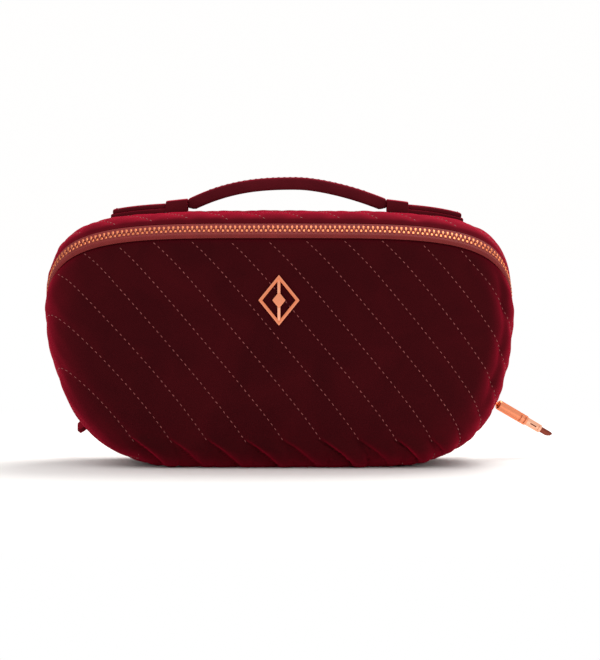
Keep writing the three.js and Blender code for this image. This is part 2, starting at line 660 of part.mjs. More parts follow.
// A ribbon that follows the top of the bag between two places along X.
function ribbon(xFrom, xTo, lift, thickness, width, steps = 12) {
  const stations = Array.from({ length: steps + 1 }, (_, step) => xFrom + (xTo - xFrom) * step / steps);
  const lower = stations.map((x) => new THREE.Vector2(x, topLevel(x) + lift));
  const upper = stations.map((x) => new THREE.Vector2(x, topLevel(x) + lift + thickness)).reverse();
  const geometry = new THREE.ExtrudeGeometry(new THREE.Shape([...lower, ...upper]), {
    depth: width, bevelEnabled: false,
  });
  geometry.rotateX(Math.PI / 2);
  geometry.translate(0, HANDLE_DEPTH_PLACE + width / 2, 0);
  return geometry;
}

const strapHalf = HANDLE_LENGTH / 2;
const keeperHalf = KEEPER_SPACING / 2;
const keeperInner = keeperHalf - KEEPER_WIDTH / 2;
const endLift = CLEARANCE + STRAP_LAYER + CLEARANCE;

// Each end of the handle: a patch sewn to the top, and the flat end of the strap lying on it. Both run from
// the outer tip to the inner side of the keeper.
for (const [side, word] of [[-1, "left"], [1, "right"]]) {
  const inner = HANDLE_SHIFT + side * keeperInner;
  const patchTip = HANDLE_SHIFT + side * strapHalf;
  const endTip = HANDLE_SHIFT + side * (strapHalf - END_SHORTER);
  const patch = [inner, patchTip].sort((one, other) => one - other);
  const end = [inner, endTip].sort((one, other) => one - other);
  place(`handle_patch_${word}`, ribbon(...patch, CLEARANCE, STRAP_LAYER, STRAP_WIDTH), velvetStrap());
  place(`handle_end_${word}`, ribbon(...end, endLift, STRAP_LAYER, STRAP_WIDTH), velvetStrap());
}

// A keeper: a band of the same cloth over both layers, sewn down on each side of them.
function keeper(side) {
  const middle = HANDLE_SHIFT + side * keeperHalf;
  const from = middle - KEEPER_WIDTH / 2;
  const to = middle + KEEPER_WIDTH / 2;
  const inner = STRAP_WIDTH + CLEARANCE * 2;
  const cover = endLift + STRAP_LAYER + CLEARANCE;
  const whole = toManifold(ribbon(from, to, CLEARANCE, cover + KEEPER_THICKNESS - CLEARANCE,
    inner + KEEPER_THICKNESS * 2, 4));
  return whole.subtract(toManifold(ribbon(from - 1, to + 1, -1, cover + 1, inner, 6)));
}
placeSolid("keeper_left", keeper(-1), velvetStrap());
placeSolid("keeper_right", keeper(1), velvetStrap());

// The arch: two layers of strap, gathered to a narrow tongue at each keeper.
const archHalf = keeperInner - CLEARANCE;
const archFoot = topLevel(HANDLE_SHIFT + keeperInner) + endLift;
const archCrest = BODY_TOP + HANDLE_RISE;
function archLevel(fromMiddle) {
  const share = Math.min(Math.abs(fromMiddle) / archHalf, 1);
  const rise = archCrest - 2 * HANDLE_LAYER - CLEARANCE - archFoot;
  return archFoot + rise * (1 - share ** ARCH_POWER);
}
function archLayer(lift, thickness) {
  const steps = 24;
  const stations = Array.from({ length: steps + 1 }, (_, step) => archHalf * (2 * step / steps - 1));
  const edge = (x, rise) => new THREE.Vector2(HANDLE_SHIFT + x, archLevel(x) + lift + rise);
  const outline = [...stations.map((x) => edge(x, 0)), ...stations.map((x) => edge(x, thickness)).reverse()];
  const geometry = new THREE.ExtrudeGeometry(new THREE.Shape(outline), {
    depth: STRAP_WIDTH, bevelEnabled: false,
  });
  geometry.rotateX(Math.PI / 2);
  geometry.translate(0, HANDLE_DEPTH_PLACE + STRAP_WIDTH / 2, 0);
  let solid = toManifold(geometry);
  for (const side of [-1, 1]) {
    const end = HANDLE_SHIFT + side * archHalf;
    const xs = [end - side * TONGUE_LENGTH * 2, end + side].sort((a, b) => a - b);
    for (const edgeSide of [-1, 1]) {
      const ys = [HANDLE_DEPTH_PLACE + edgeSide * TONGUE_WIDTH / 2, HANDLE_DEPTH_PLACE + edgeSide * STRAP_WIDTH]
        .sort((a, b) => a - b);
      solid = solid.subtract(boxBetween([xs[0], ys[0], 0], [xs[1], ys[1], FAR]));
    }
  }
  return solid;
}
placeSolid("handle_under_strap", archLayer(0, HANDLE_LAYER), velvetStrap());
placeSolid("handle_strap", archLayer(HANDLE_LAYER + CLEARANCE, HANDLE_LAYER), velvetStrap());

// ---------------------------------------------------------------- fittings inside

// How far from the bag's middle the lining lies, at the corners of what is sewn flat to it.
function liningReach(halfWidth, low, high) {
  const along = new THREE.Vector3(0, 1, 0);
  const atCorner = (z) => reach(new THREE.Vector3(halfWidth, 0, z - WIDEST_LEVEL), along);
  return Math.min(atCorner(low), atCorner(high)) - innerDepth;
}

// The slip pocket on the lining of the front, and the binding along its mouth.
const pocketFront = SEAT_GAP - liningReach(POCKET_WIDTH / 2, POCKET_FOOT, POCKET_FOOT + POCKET_HEIGHT);
placeSolid("slip_pocket", boxBetween([-POCKET_WIDTH / 2, pocketFront, POCKET_FOOT],
  [POCKET_WIDTH / 2, pocketFront + CLOTH_THICKNESS, POCKET_FOOT + POCKET_HEIGHT]), satin());
const mouth = POCKET_FOOT + POCKET_HEIGHT + CLEARANCE;
placeSolid("pocket_binding", boxBetween([-POCKET_WIDTH / 2, pocketFront - CLEARANCE, mouth],
  [POCKET_WIDTH / 2, pocketFront + CLOTH_THICKNESS + CLEARANCE, mouth + BINDING_HEIGHT]), velvetStrap());

// The elastic band for brushes on the lining of the back.
const bandBack = liningReach(BAND_WIDTH / 2, BAND_FOOT, BAND_FOOT + BAND_HEIGHT) - SEAT_GAP;
placeSolid("brush_band", boxBetween([-BAND_WIDTH / 2, bandBack - CLOTH_THICKNESS, BAND_FOOT],
  [BAND_WIDTH / 2, bandBack, BAND_FOOT + BAND_HEIGHT]), satin());

export default bag;
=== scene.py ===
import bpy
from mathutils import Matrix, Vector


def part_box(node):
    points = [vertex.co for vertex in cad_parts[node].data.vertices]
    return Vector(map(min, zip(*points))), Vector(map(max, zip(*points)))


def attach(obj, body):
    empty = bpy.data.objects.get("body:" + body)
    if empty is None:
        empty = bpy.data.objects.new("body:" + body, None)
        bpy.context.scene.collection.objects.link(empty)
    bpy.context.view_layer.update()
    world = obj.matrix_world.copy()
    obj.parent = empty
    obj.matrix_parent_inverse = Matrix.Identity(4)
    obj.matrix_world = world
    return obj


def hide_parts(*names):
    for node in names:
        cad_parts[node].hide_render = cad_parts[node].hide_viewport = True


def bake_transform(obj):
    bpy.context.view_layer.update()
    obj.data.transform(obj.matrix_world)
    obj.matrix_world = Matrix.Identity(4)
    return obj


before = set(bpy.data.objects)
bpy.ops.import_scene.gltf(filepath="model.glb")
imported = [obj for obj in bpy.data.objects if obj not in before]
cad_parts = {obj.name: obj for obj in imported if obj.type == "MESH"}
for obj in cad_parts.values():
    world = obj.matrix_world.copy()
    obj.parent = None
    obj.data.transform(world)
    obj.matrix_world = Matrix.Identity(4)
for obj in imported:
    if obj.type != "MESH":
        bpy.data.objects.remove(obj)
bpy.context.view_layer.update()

import math

import bmesh
import bpy
import numpy as np
from mathutils import Matrix, Vector

# ---------------------------------------------------------------- quilted halves
# Front and lid are velvet quilted to wadding in slanting channels. Each half is one padded shell, sewn to the
# zip tape round its rim and to the other half along the cloth hinge at the back-bottom edge.

HALF_WIDTH, HALF_DEPTH = 0.120, 0.042
WIDEST, RISE, DROP = 0.0768, 0.0535, 0.078
UPPER_POWER, LOWER_POWER, EDGE_POWER = 4.1, 4.6, 4.5
LOWER_TAPER, TAPER_POWER = 0.14, 1.5
CENTRE = np.array([0.0, 0.0, WIDEST])


def fullness(points):
    """Under 1 inside the filled bag, 1 on its skin."""
    level = points[:, 2] - WIDEST
    upper = level >= 0
    rise = np.abs(level) / np.where(upper, RISE, DROP)
    power = np.where(upper, UPPER_POWER, LOWER_POWER)
    taper = np.where(upper, 1, 1 - LOWER_TAPER * np.minimum(rise, 1) ** TAPER_POWER)
    across = np.abs(points[:, 0]) / (HALF_WIDTH * taper)
    deep = np.abs(points[:, 1]) / HALF_DEPTH
    return (across ** power + rise ** power) ** (EDGE_POWER / power) + deep ** EDGE_POWER


def unit(ways):
    return ways / np.linalg.norm(ways, axis=-1, keepdims=True)


def to_skin(starts, rays):
    """Where rays from inside the bag meet its skin."""
    rays = unit(rays)
    near, far = np.zeros(len(rays)), np.full(len(rays), 0.3)
    for _ in range(34):
        middle = (near + far) / 2
        outside = fullness(starts + rays * middle[:, None]) > 1
        near, far = np.where(outside, near, middle), np.where(outside, middle, far)
    return starts + rays * near[:, None]


def skin_normals(points):
    slope = [fullness(points + step) - fullness(points - step) for step in np.eye(3) * 1e-6]
    return unit(np.stack(slope, axis=1))


# The slanting plane where the halves meet: up its slope from the hinge, and across it towards the lid.
HINGE = np.array([0, 0.0378612, 0.0132169])
UP_SLOPE = np.array([0, -0.5536638, 0.8327403])
ACROSS = np.array([0, 0.8327403, 0.5536638])
VELVET_EDGE = {-1: 0.0046, 1: 0.0052}      # from the middle of the zip to the velvet, on the front and on the lid
HINGE_EDGE = 0.00015
LIP_TOP = 0.0112            # below this the two halves meet along the hinge


def smooth(value):
    value = np.clip(value, 0, 1)
    return value * value * (3 - 2 * value)


def points_of(piece):
    flat = np.empty(len(piece.data.vertices) * 3, np.float32)
    piece.data.vertices.foreach_get("co", flat)
    return flat.reshape(-1, 3).astype(float)


def move_points(piece, points):
    piece.data.vertices.foreach_set("co", points.astype(np.float32).ravel())
    piece.data.update()


def choose(piece, edit=False):
    """Only this piece is selected and active, with all of it selected when it is to be edited."""
    bpy.ops.object.select_all(action="DESELECT")
    piece.select_set(True)
    bpy.context.view_layer.objects.active = piece
    if edit:
        bpy.ops.object.mode_set(mode="EDIT")
        bpy.ops.mesh.select_mode(type="VERT")
        bpy.ops.mesh.select_all(action="SELECT")


def named(piece, name):
    piece.name = name
    piece.data.name = name
    return piece


def copy_of(piece, name):
    twin = piece.copy()
    twin.data = piece.data.copy()
    bpy.context.scene.collection.objects.link(twin)
    return named(twin, name)


def modify(piece, kind, **settings):
    choose(piece)
    modifier = piece.modifiers.new(kind, kind)
    for key, value in settings.items():
        setattr(modifier, key, value)
    bpy.ops.object.modifier_apply(modifier=modifier.name)


def cut_along(piece, axis, cuts):
    """Cuts every edge that runs along one axis, as a loop cut would."""
    choose(piece, edit=True)
    bpy.ops.mesh.select_mode(type="EDGE")
    bpy.ops.mesh.select_all(action="DESELECT")
    mesh = bmesh.from_edit_mesh(piece.data)
    for edge in mesh.edges:
        run = edge.verts[0].co - edge.verts[1].co
        if abs(run[axis]) > 0.9 * run.length:
            edge.select_set(True)
    bmesh.update_edit_mesh(piece.data)
    bpy.ops.mesh.subdivide(number_cuts=cuts)
    bpy.ops.object.mode_set(mode="OBJECT")


def delete_faces(piece, unwanted):
    """Deletes the faces that a rule picks by their middle and normal."""
    choose(piece, edit=True)
    bpy.ops.mesh.select_mode(type="FACE")
    bpy.ops.mesh.select_all(action="DESELECT")
    mesh = bmesh.from_edit_mesh(piece.data)
    mesh.normal_update()
    for face in mesh.faces:
        face.select_set(bool(unwanted(np.array(face.calc_center_median()), face.normal)))
    bmesh.update_edit_mesh(piece.data)
    bpy.ops.mesh.delete(type="FACE")
    bpy.ops.object.mode_set(mode="OBJECT")


def fresh(name):
    """Names the primitive that was just added, and puts its place and size into its mesh."""
    piece = named(bpy.context.object, name)
    bpy.ops.object.transform_apply(location=True, rotation=True, scale=True)
    return piece


def filled_form(name, cuts):
    """A box of the bag's size, cut into a grid and swollen out to the bag's skin."""
    bpy.ops.object.select_all(action="DESELECT")
    bpy.ops.mesh.primitive_cube_add(size=1, location=(0, 0, WIDEST + (RISE - DROP) / 2),
                                    scale=(HALF_WIDTH * 2, HALF_DEPTH * 2, RISE + DROP))
    form = fresh(name)
    for axis, numbers in enumerate(cuts):
        for number in numbers:
            cut_along(form, axis, number)
    move_points(form, to_skin(CENTRE, points_of(form) - CENTRE))
    return form


def cut_to_half(piece, side, rim, lips=True):
    """Keeps the part of a form on one side of the slanting plane, with the lips of the hinge if it has them."""
    cuts = [(rim, ACROSS * side)]
    if lips:
        cuts = [(HINGE_EDGE, ACROSS * side), *cuts, (LIP_TOP, UP_SLOPE)]
    choose(piece, edit=True)
    for number, (distance, way) in enumerate(cuts):
        bpy.ops.mesh.select_all(action="SELECT")
        bpy.ops.mesh.bisect(plane_co=HINGE + way * distance, plane_no=way, clear_inner=number == 0)
    bpy.ops.object.mode_set(mode="OBJECT")
    if lips:
        delete_faces(piece, lambda middle, normal: (middle - HINGE) @ ACROSS * side < rim
                     and (middle - HINGE) @ UP_SLOPE > LIP_TOP)


# The channels: planes of this slope cut the skin in the lines of stitching.
CHANNEL = np.array([0.766, 0.5, 0.643])
CHANNEL_SPACING = 0.0148
FRONT_START, LID_START = 0.0363, 0.0471
LINE_RUN = np.array([0.643, -0.25, -0.72])      # roughly along the stitching
FOLD_DEPTH, FOLD_LEAN, FOLD_TOP = 0.0028, 0.65, 0.0185       # the soft folds along the bottom of the bag
EMBLEM_MIDDLE = np.array([0, -0.042, 0.0858])
HANDLE_X, HANDLE_Y = 0.004, 0.002


def wave(points, length, seed):
    """A soft uneven swell between -1 and 1."""
    total = 0
    for turn in range(5):
        way = np.array([math.sin(seed + turn * 2.4), math.cos(seed * 1.7 + turn * 1.9),
                        math.sin(seed * 0.6 + turn * 3.1)])
        total = total + np.sin(points @ way * (2 * math.pi / length) * (1 + 0.23 * turn) + seed * 5 + turn * 1.3)
    return total / 3


def quilt_rise(points, normals, side):
    """How far the velvet stands out from the skin."""
    channel = (points @ CHANNEL - (FRONT_START if side < 0 else LID_START)) / CHANNEL_SPACING
    share = channel - np.floor(channel)
    from_line = np.minimum(share, 1 - share) * CHANNEL_SPACING
    pillow = 1 - np.abs(2 * share - 1) ** 2.4
    turned = smooth((1 - np.abs(normals[:, 1])) / 0.35)
    rise = (0.00042 + 0.0006 * turned * (1 - 0.7 * smooth(normals[:, 2] / 0.5))) * pillow

    # Soft folds lean across the channels where the front turns under the bag.
    downward = smooth((-normals[:, 2] - 0.06) / 0.3) * smooth((np.abs(normals[:, 1]) - 0.12) / 0.4)
    leaning = channel - FOLD_LEAN * (0.016 - points[:, 2]) / CHANNEL_SPACING
    leaning = leaning - np.floor(leaning)
    fold = np.sqrt(leaning) * (1 - leaning) ** 1.5 * 3.08
    uneven = 0.8 + 0.3 * np.sin(2.7 * np.floor(channel) + 1)
    rise += FOLD_DEPTH * uneven * downward * smooth((FOLD_TOP - points[:, 2]) / 0.009) * (fold - 0.3)

    # The velvet wrinkles along the right side, puckers at its stitches, and swells unevenly all over.
    wrinkled = smooth((points[:, 2] - 0.022) / 0.02) * smooth((0.112 - points[:, 2]) / 0.02)
    wrinkled = wrinkled * smooth((points[:, 0] - 0.08) / 0.02)
    turn = np.abs(normals[:, 0]) + 0.06 * np.sin(points[:, 2] * 70)
    crest, hollow = np.exp(-((turn - 0.40) / 0.12) ** 2), np.exp(-((turn - 0.68) / 0.09) ** 2)
    rise += wrinkled * (0.0008 * crest - 0.0010 * hollow)
    ripple = np.sin(points @ LINE_RUN * 2 * math.pi / 0.0064 + 2 * np.floor(channel))
    rise += 0.00007 * ripple * np.exp(-(from_line / 0.0024) ** 2)
    calm = 1 - np.exp(-np.sum((points - EMBLEM_MIDDLE) ** 2, axis=1) / 0.018 ** 2)
    rise += 0.00035 * wave(points, 0.075, 1.0 + side) * calm + 0.00022 * turned * wave(points, 0.017, 4.0)

    # It lies flatter under the handle's ends, and rolls in at the zip and at the hinge.
    under_handle = smooth((points[:, 2] - 0.120) / 0.004)
    under_handle = under_handle * smooth((0.0115 - np.abs(points[:, 1] - HANDLE_Y)) / 0.003)
    rise *= 1 - 0.75 * under_handle
    from_hinge = np.abs((points - HINGE) @ ACROSS)
    from_seam = from_hinge - VELVET_EDGE[side]
    lip = smooth((LIP_TOP + 0.003 - (points - HINGE) @ UP_SLOPE) / 0.003)
    rise = rise * smooth(from_seam / 0.007 * (1 - lip) + lip * from_hinge / 0.006)
    roll_in = (1 - smooth(from_seam / 0.0036)) ** 2 * (1 - lip)
    hinge_dip = (1 - smooth(from_hinge / 0.004)) * lip
    return rise - 0.0009 * roll_in - 0.0006 * hinge_dip


def add_node(tree, kind, inputs=None, **settings):
    """Adds a shader node. Each of its inputs is given a plain value, or an output that is joined to it."""
    node = tree.nodes.new("ShaderNode" + kind)
    for key, value in settings.items():
        setattr(node, key, value)
    for key, value in (inputs or {}).items():
        if isinstance(value, bpy.types.NodeSocket):
            tree.links.new(value, node.inputs[key])
        else:
            node.inputs[key].default_value = value
    return node


def noise(tree, place, scale, detail=2, **more):
    return add_node(tree, "TexNoise", {"Vector": place, "Scale": scale, "Detail": detail, **more}).outputs["Fac"]


def reckon(tree, operation, *values):
    return add_node(tree, "Math", dict(enumerate(values)), operation=operation).outputs[0]


def rescale(tree, value, low, high, to_low=0.0, to_high=1.0, **settings):
    limits = {"From Min": low, "From Max": high, "To Min": to_low, "To Max": to_high}
    return add_node(tree, "MapRange", {"Value": value, **limits}, **settings).outputs["Result"]


def mixed(tree, share, first, second, blend="MIX"):
    inputs = {"Factor": share, "A": first, "B": second}
    return add_node(tree, "Mix", inputs, data_type="RGBA", blend_type=blend).outputs["Result"]


def surface_group(name, takes):
    """A node group that takes named inputs, and will put out a colour, a roughness and a height."""
    group = bpy.data.node_groups.new(name, "ShaderNodeTree")
    for title, kind in takes.items():
        group.interface.new_socket(title, in_out="INPUT", socket_type=f"NodeSocket{kind}")
    for title, kind in (("Colour", "Color"), ("Roughness", "Float"), ("Height", "Float")):
        group.interface.new_socket(title, in_out="OUTPUT", socket_type=f"NodeSocket{kind}")
    return group, group.nodes.new("NodeGroupInput").outputs


def put_out(group, colour, roughness, height):
    sockets = group.nodes.new("NodeGroupOutput").inputs
    for title, value in (("Colour", colour), ("Roughness", roughness), ("Height", height)):
        group.links.new(value, sockets[title])
    return group


def velvet_nap():
    """Shared by every velvet: how the pile lies, in broad brushed strokes and single hairs."""
    group, given = surface_group("velvet nap", {"Deep": "Color", "Lifted": "Color"})
    place = add_node(group, "TexCoord").outputs["Object"]
    strokes = noise(group, place, 38, 4, Distortion=0.8)
    hairs = noise(group, place, 1700, 3)
    brushed = rescale(group, reckon(group, "MULTIPLY_ADD", hairs, 0.6, strokes), 0.55, 1.05)
    height = reckon(group, "MULTIPLY_ADD", noise(group, place, 420, 4), 0.5, hairs)
    return put_out(group, mixed(group, brushed, given["Deep"], given["Lifted"]),
                   rescale(group, strokes, 0, 1, 0.82), height)


def new_material(name, **sockets):
    """A material with plain numbers set on its shader, and its node tree and shader to add to."""
    material = bpy.data.materials.new(name)
    material.use_nodes = True
    shader = material.node_tree.nodes["Principled BSDF"]
    for key, value in sockets.items():
        shader.inputs[key.replace("_", " ")].default_value = value
    return material, material.node_tree, shader


def dress(tree, shader, colour, roughness, height, strength, distance):
    """Joins a pattern to the shader: its colour, its roughness if it has one, and its height as a bump."""
    tree.links.new(colour, shader.inputs["Base Color"])
    if roughness is not None:
        tree.links.new(roughness, shader.inputs["Roughness"])
    bump = add_node(tree, "Bump", {"Strength": strength, "Distance": distance, "Height": height})
    tree.links.new(bump.outputs["Normal"], shader.inputs["Normal"])


nap = velvet_nap()


def velvet_material(name, deep, lifted, sheen_colour):
    """Velvet with painted shade in its creases, darker where it faces the eye, and a painted sheen where it turns
    away.
    """
    material, tree, shader = new_material(
        name, Sheen_Weight=0.2, Sheen_Roughness=0.32, Sheen_Tint=(*sheen_colour, 1), Specular_IOR_Level=0.02)
    pile = add_node(tree, "Group", {"Deep": (*deep, 1), "Lifted": (*lifted, 1)}, node_tree=nap).outputs
    # Painted sheen: where the surface turns away from the eye, its colour is mixed towards the sheen colour.
    facing = add_node(tree, "LayerWeight", {"Blend": 0.5}).outputs["Facing"]
    with_painted_sheen = mixed(tree, reckon(tree, "POWER", facing, 1.5), pile["Colour"], (*sheen_colour, 1))
    # Painted shade: the colour is darkened in the creases and grooves of the mesh, which are found by its
    # pointiness.
    hollow = rescale(tree, add_node(tree, "NewGeometry").outputs["Pointiness"], 0.44, 0.495, 0.3)
    dress(tree, shader, mixed(tree, 1, with_painted_sheen, hollow, "MULTIPLY"), pile["Roughness"], pile["Height"], 0.35, 0.0004)
    return material


# The third colour is the painted sheen at grazing angles, and also the tint of the shader's own sheen.
velvet = velvet_material("quilted_velvet", (0.034, 0.0026, 0.0040), (0.049, 0.0034, 0.0052), (0.34, 0.004, 0.022))


def put_material(piece, *materials):
    piece.data.materials.clear()
    for material in materials:
        piece.data.materials.append(material)


def shade_soft(piece, degrees=None):
    choose(piece)
    if degrees is None:
        bpy.ops.object.shade_smooth()
    else:
        bpy.ops.object.shade_smooth_by_angle(angle=math.radians(degrees))

SLOUCH_LOWER, SLOUCH_UPPER, ZIP_SAG = 0.0062, 0.0016, 0.0026


def slouch(points):
    """How far the soft bag has slouched: in at its lower left and a little at both upper corners, and forwards
    along the top of the zip."""
    lower = np.clip((0.08 - points[:, 2]) / 0.08, 0, 1) ** 1.25 * smooth((-points[:, 0] - 0.03) / 0.08)
    upper = np.exp(-((points[:, 2] - 0.108) / 0.014) ** 2) * smooth((np.abs(points[:, 0]) - 0.06) / 0.05)
    from_zip = (points - HINGE) @ ACROSS
    sag = np.exp(-(from_zip / 0.014) ** 2) * smooth((points[:, 2] - 0.076) / 0.04)
    inwards = SLOUCH_LOWER * lower - SLOUCH_UPPER * np.sign(points[:, 0]) * upper
    return np.outer(inwards, [1, 0, 0]) - np.outer(ZIP_SAG * sag, ACROSS)


def settle(piece, body, replaced=(), material=None):
    """Lets the piece slouch with the bag, gives it its material, rides it on its body, and hides the parts that it
    replaces.
    """
    points = points_of(piece)
    move_points(piece, points + slouch(points))
    if material:
        put_material(piece, material)
    if body:
        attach(piece, body)
    if replaced:
        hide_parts(*replaced)
    return piece


SIDES = ((-1, "front", "base"), (1, "back", "lid"))
fine_form = filled_form("fine_form", ((13, 12), (8, 6), (9, 9)))
for side, word, body in SIDES:
    shell = copy_of(fine_form, f"{word}_quilting")
    cut_to_half(shell, side, VELVET_EDGE[side])
    points = points_of(shell)
    normals = skin_normals(points)
    points = points + normals * quilt_rise(points, normals, side)[:, None]
    points[:, 2] = np.maximum(points[:, 2], 0.0002)
    move_points(shell, points)
    modify(shell, "SOLIDIFY", thickness=0.0017, offset=-1, use_even_offset=False)
    shade_soft(shell, 50)
    settle(shell, body, [f"{word}_quilted_shell"], velvet)

# ---------------------------------------------------------------- quilting thread
# Dusty pink thread, sewn through velvet and wadding along each channel. It is one row of short stitches for
# each line, lying in the groove that it pulls.

STITCH_PITCH, STITCH_LENGTH, THREAD_RADIUS = 0.0031, 0.0016, 0.00024


def thread_material(name, colour, dark):
    material, tree, shader = new_material(name, Roughness=0.55, Sheen_Weight=0.1, Specular_IOR_Level=0.2)
    twist = noise(tree, add_node(tree, "TexCoord").outputs["Object"], 900)
    dress(tree, shader, mixed(tree, twist, (*dark, 1), (*colour, 1)), None, twist, 0.4, 0.0001)
    return material


pink_thread = thread_material("pink_thread", (0.34, 0.085, 0.080), (0.16, 0.032, 0.034))


def joined(name, pieces):
    bpy.ops.object.select_all(action="DESELECT")
    for piece in pieces:
        piece.select_set(True)
    bpy.context.view_layer.objects.active = pieces[0]
    bpy.ops.object.join()
    return named(bpy.context.object, name)


def laid_copies(pattern, places, name):
    """Copies of the pattern, each with its own mesh, laid at their places and joined into one piece."""
    twins = []
    for place in places:
        twin = copy_of(pattern, name)
        twin.data.transform(place)
        twins.append(twin)
    return joined(name, twins)


def frame_matrix(origin, first, second, third):
    """Lays X, Y and Z along three ways, from an origin."""
    return Matrix((*np.stack([first, second, third, origin], axis=1).tolist(), (0, 0, 0, 1)))


def forget(piece):
    mesh = piece.data
    bpy.data.objects.remove(piece)
    bpy.data.meshes.remove(mesh)


def evenly(path, pitch):
    """Points at an even pitch along a path, with the direction of the path at each."""
    travelled = np.concatenate([[0], np.cumsum(np.linalg.norm(np.diff(path, axis=0), axis=1))])
    count = int(travelled[-1] / pitch)
    wanted = (np.arange(count) + 0.5) * travelled[-1] / count
    at, ahead, behind = (np.stack([np.interp(wanted + step, travelled, path[:, axis]) for axis in range(3)], axis=1)
                         for step in (0, pitch / 8, -pitch / 8))
    return at, unit(ahead - behind)


def stitch_pattern(length, radius):
    bpy.ops.object.select_all(action="DESELECT")
    bpy.ops.mesh.primitive_uv_sphere_add(segments=6, ring_count=5, radius=1, scale=(radius, radius, length / 2))
    pattern = fresh("stitch")
    bpy.ops.object.shade_smooth()
    return pattern


stitch = stitch_pattern(STITCH_LENGTH, THREAD_RADIUS)
form_points = points_of(fine_form)
reaches = form_points @ CHANNEL
farthest = form_points[[np.argmin(reaches), np.argmax(reaches)]]
middle_value = CENTRE @ CHANNEL
line_way = unit(np.cross(CHANNEL, [0, 1, 0]))
other_way = unit(np.cross(CHANNEL, line_way))
angles = np.linspace(0, 2 * math.pi, 720)
rays = np.cos(angles)[:, None] * line_way + np.sin(angles)[:, None] * other_way
for side, word, body in SIDES:
    start = FRONT_START if side < 0 else LID_START
    places = []
    first = math.ceil((reaches.min() - start) / CHANNEL_SPACING + 0.02)
    last = math.floor((reaches.max() - start) / CHANNEL_SPACING - 0.02)
    for number in range(first, last + 1):
        value = start + number * CHANNEL_SPACING
        corner = farthest[0 if value < middle_value else 1]
        inside = CENTRE + (corner - CENTRE) * (value - middle_value) / (corner @ CHANNEL - middle_value)
        at, run = evenly(to_skin(np.repeat(inside[None], len(rays), axis=0), rays), STITCH_PITCH)
        normals = skin_normals(at)
        seam = (at - HINGE) @ ACROSS * side
        at = at + normals * (quilt_rise(at, normals, side) + THREAD_RADIUS * 0.35)[:, None]
        x, y, z = at.T
        kept = (seam > VELVET_EDGE[side] + 0.0022) & (z > 0.0016) & ((y > -0.03) | (z > 0.0135))
        under_strap = (z > 0.124) & (np.abs(y - HANDLE_Y) < 0.0085) & (np.abs(x - HANDLE_X) > 0.0495)
        for point, way, outward in zip(*(values[kept & ~under_strap] for values in (at, run, normals))):
            second = unit(np.cross(way, outward))
            places.append(frame_matrix(point, np.cross(second, way), second, way))
    settle(laid_copies(stitch, places, f"{word}_quilting_thread"), body, material=pink_thread)
forget(stitch)

# ---------------------------------------------------------------- stiffener and lining
# A sheet of foam stiffens each half behind the wadding, and satin lines it. Both follow the outer skin inwards
# and end beside the zip, where the bound seam holds them.

STIFFENER_DEPTH, STIFFENER_THICKNESS = 0.0032, 0.0016
LINING_DEPTH, LINING_THICKNESS = 0.0053, 0.0008
BACKPLATE_HALF_WIDTH, BACKPLATE_HALF_HEIGHT = 0.0052, 0.0165


def foam_material():
    material, tree, shader = new_material("foam_sheet", Roughness=0.95, Specular_IOR_Level=0.2)
    place = add_node(tree, "TexCoord").outputs["Object"]
    pores = add_node(tree, "TexVoronoi", {"Vector": place, "Scale": 1300}).outputs["Distance"]
    dress(tree, shader, mixed(tree, pores, (0.36, 0.32, 0.27, 1), (0.62, 0.57, 0.50, 1)), None, pores, 0.5, 0.0003)
    return material


def woven():
    """Shared by the tape and the linings: two sets of threads that cross."""
    takes = {"Vector": "Vector", "Threads": "Float", "Light": "Color", "Dark": "Color"}
    group, given = surface_group("plain weave", takes)
    split = add_node(group, "SeparateXYZ", {0: given["Vector"]}).outputs
    waves = [reckon(group, "SINE", reckon(group, "MULTIPLY", split[axis], given["Threads"])) for axis in "XYZ"]
    crossing = reckon(group, "MULTIPLY", waves[0], waves[1])
    height = rescale(group, reckon(group, "MULTIPLY_ADD", waves[2], 0.5, crossing), -1.3, 1.3)
    wear = noise(group, given["Vector"], 120)
    tone = reckon(group, "MULTIPLY_ADD", height, 0.7, reckon(group, "MULTIPLY_ADD", wear, 0.7, -0.2))
    return put_out(group, mixed(group, tone, given["Dark"], given["Light"]),
                   rescale(group, wear, 0, 1, 0.55, 0.8), height)


weave = woven()


def woven_material(name, light, dark, threads, strength, depth, cloth_size=None, **sockets):
    """Cloth woven on the piece's own coordinates or, where its length and width are given, along its own map."""
    material, tree, shader = new_material(name, **sockets)
    place = add_node(tree, "TexCoord").outputs["UV" if cloth_size else "Object"]
    if cloth_size:
        place = add_node(tree, "Mapping", {"Vector": place, "Scale": (*cloth_size, 1)}).outputs["Vector"]
    colours = {"Light": (*light, 1), "Dark": (*dark, 1)}
    cloth = add_node(tree, "Group", {"Vector": place, "Threads": threads, **colours}, node_tree=weave).outputs
    dress(tree, shader, cloth["Colour"], cloth["Roughness"], cloth["Height"], strength, depth)
    return material


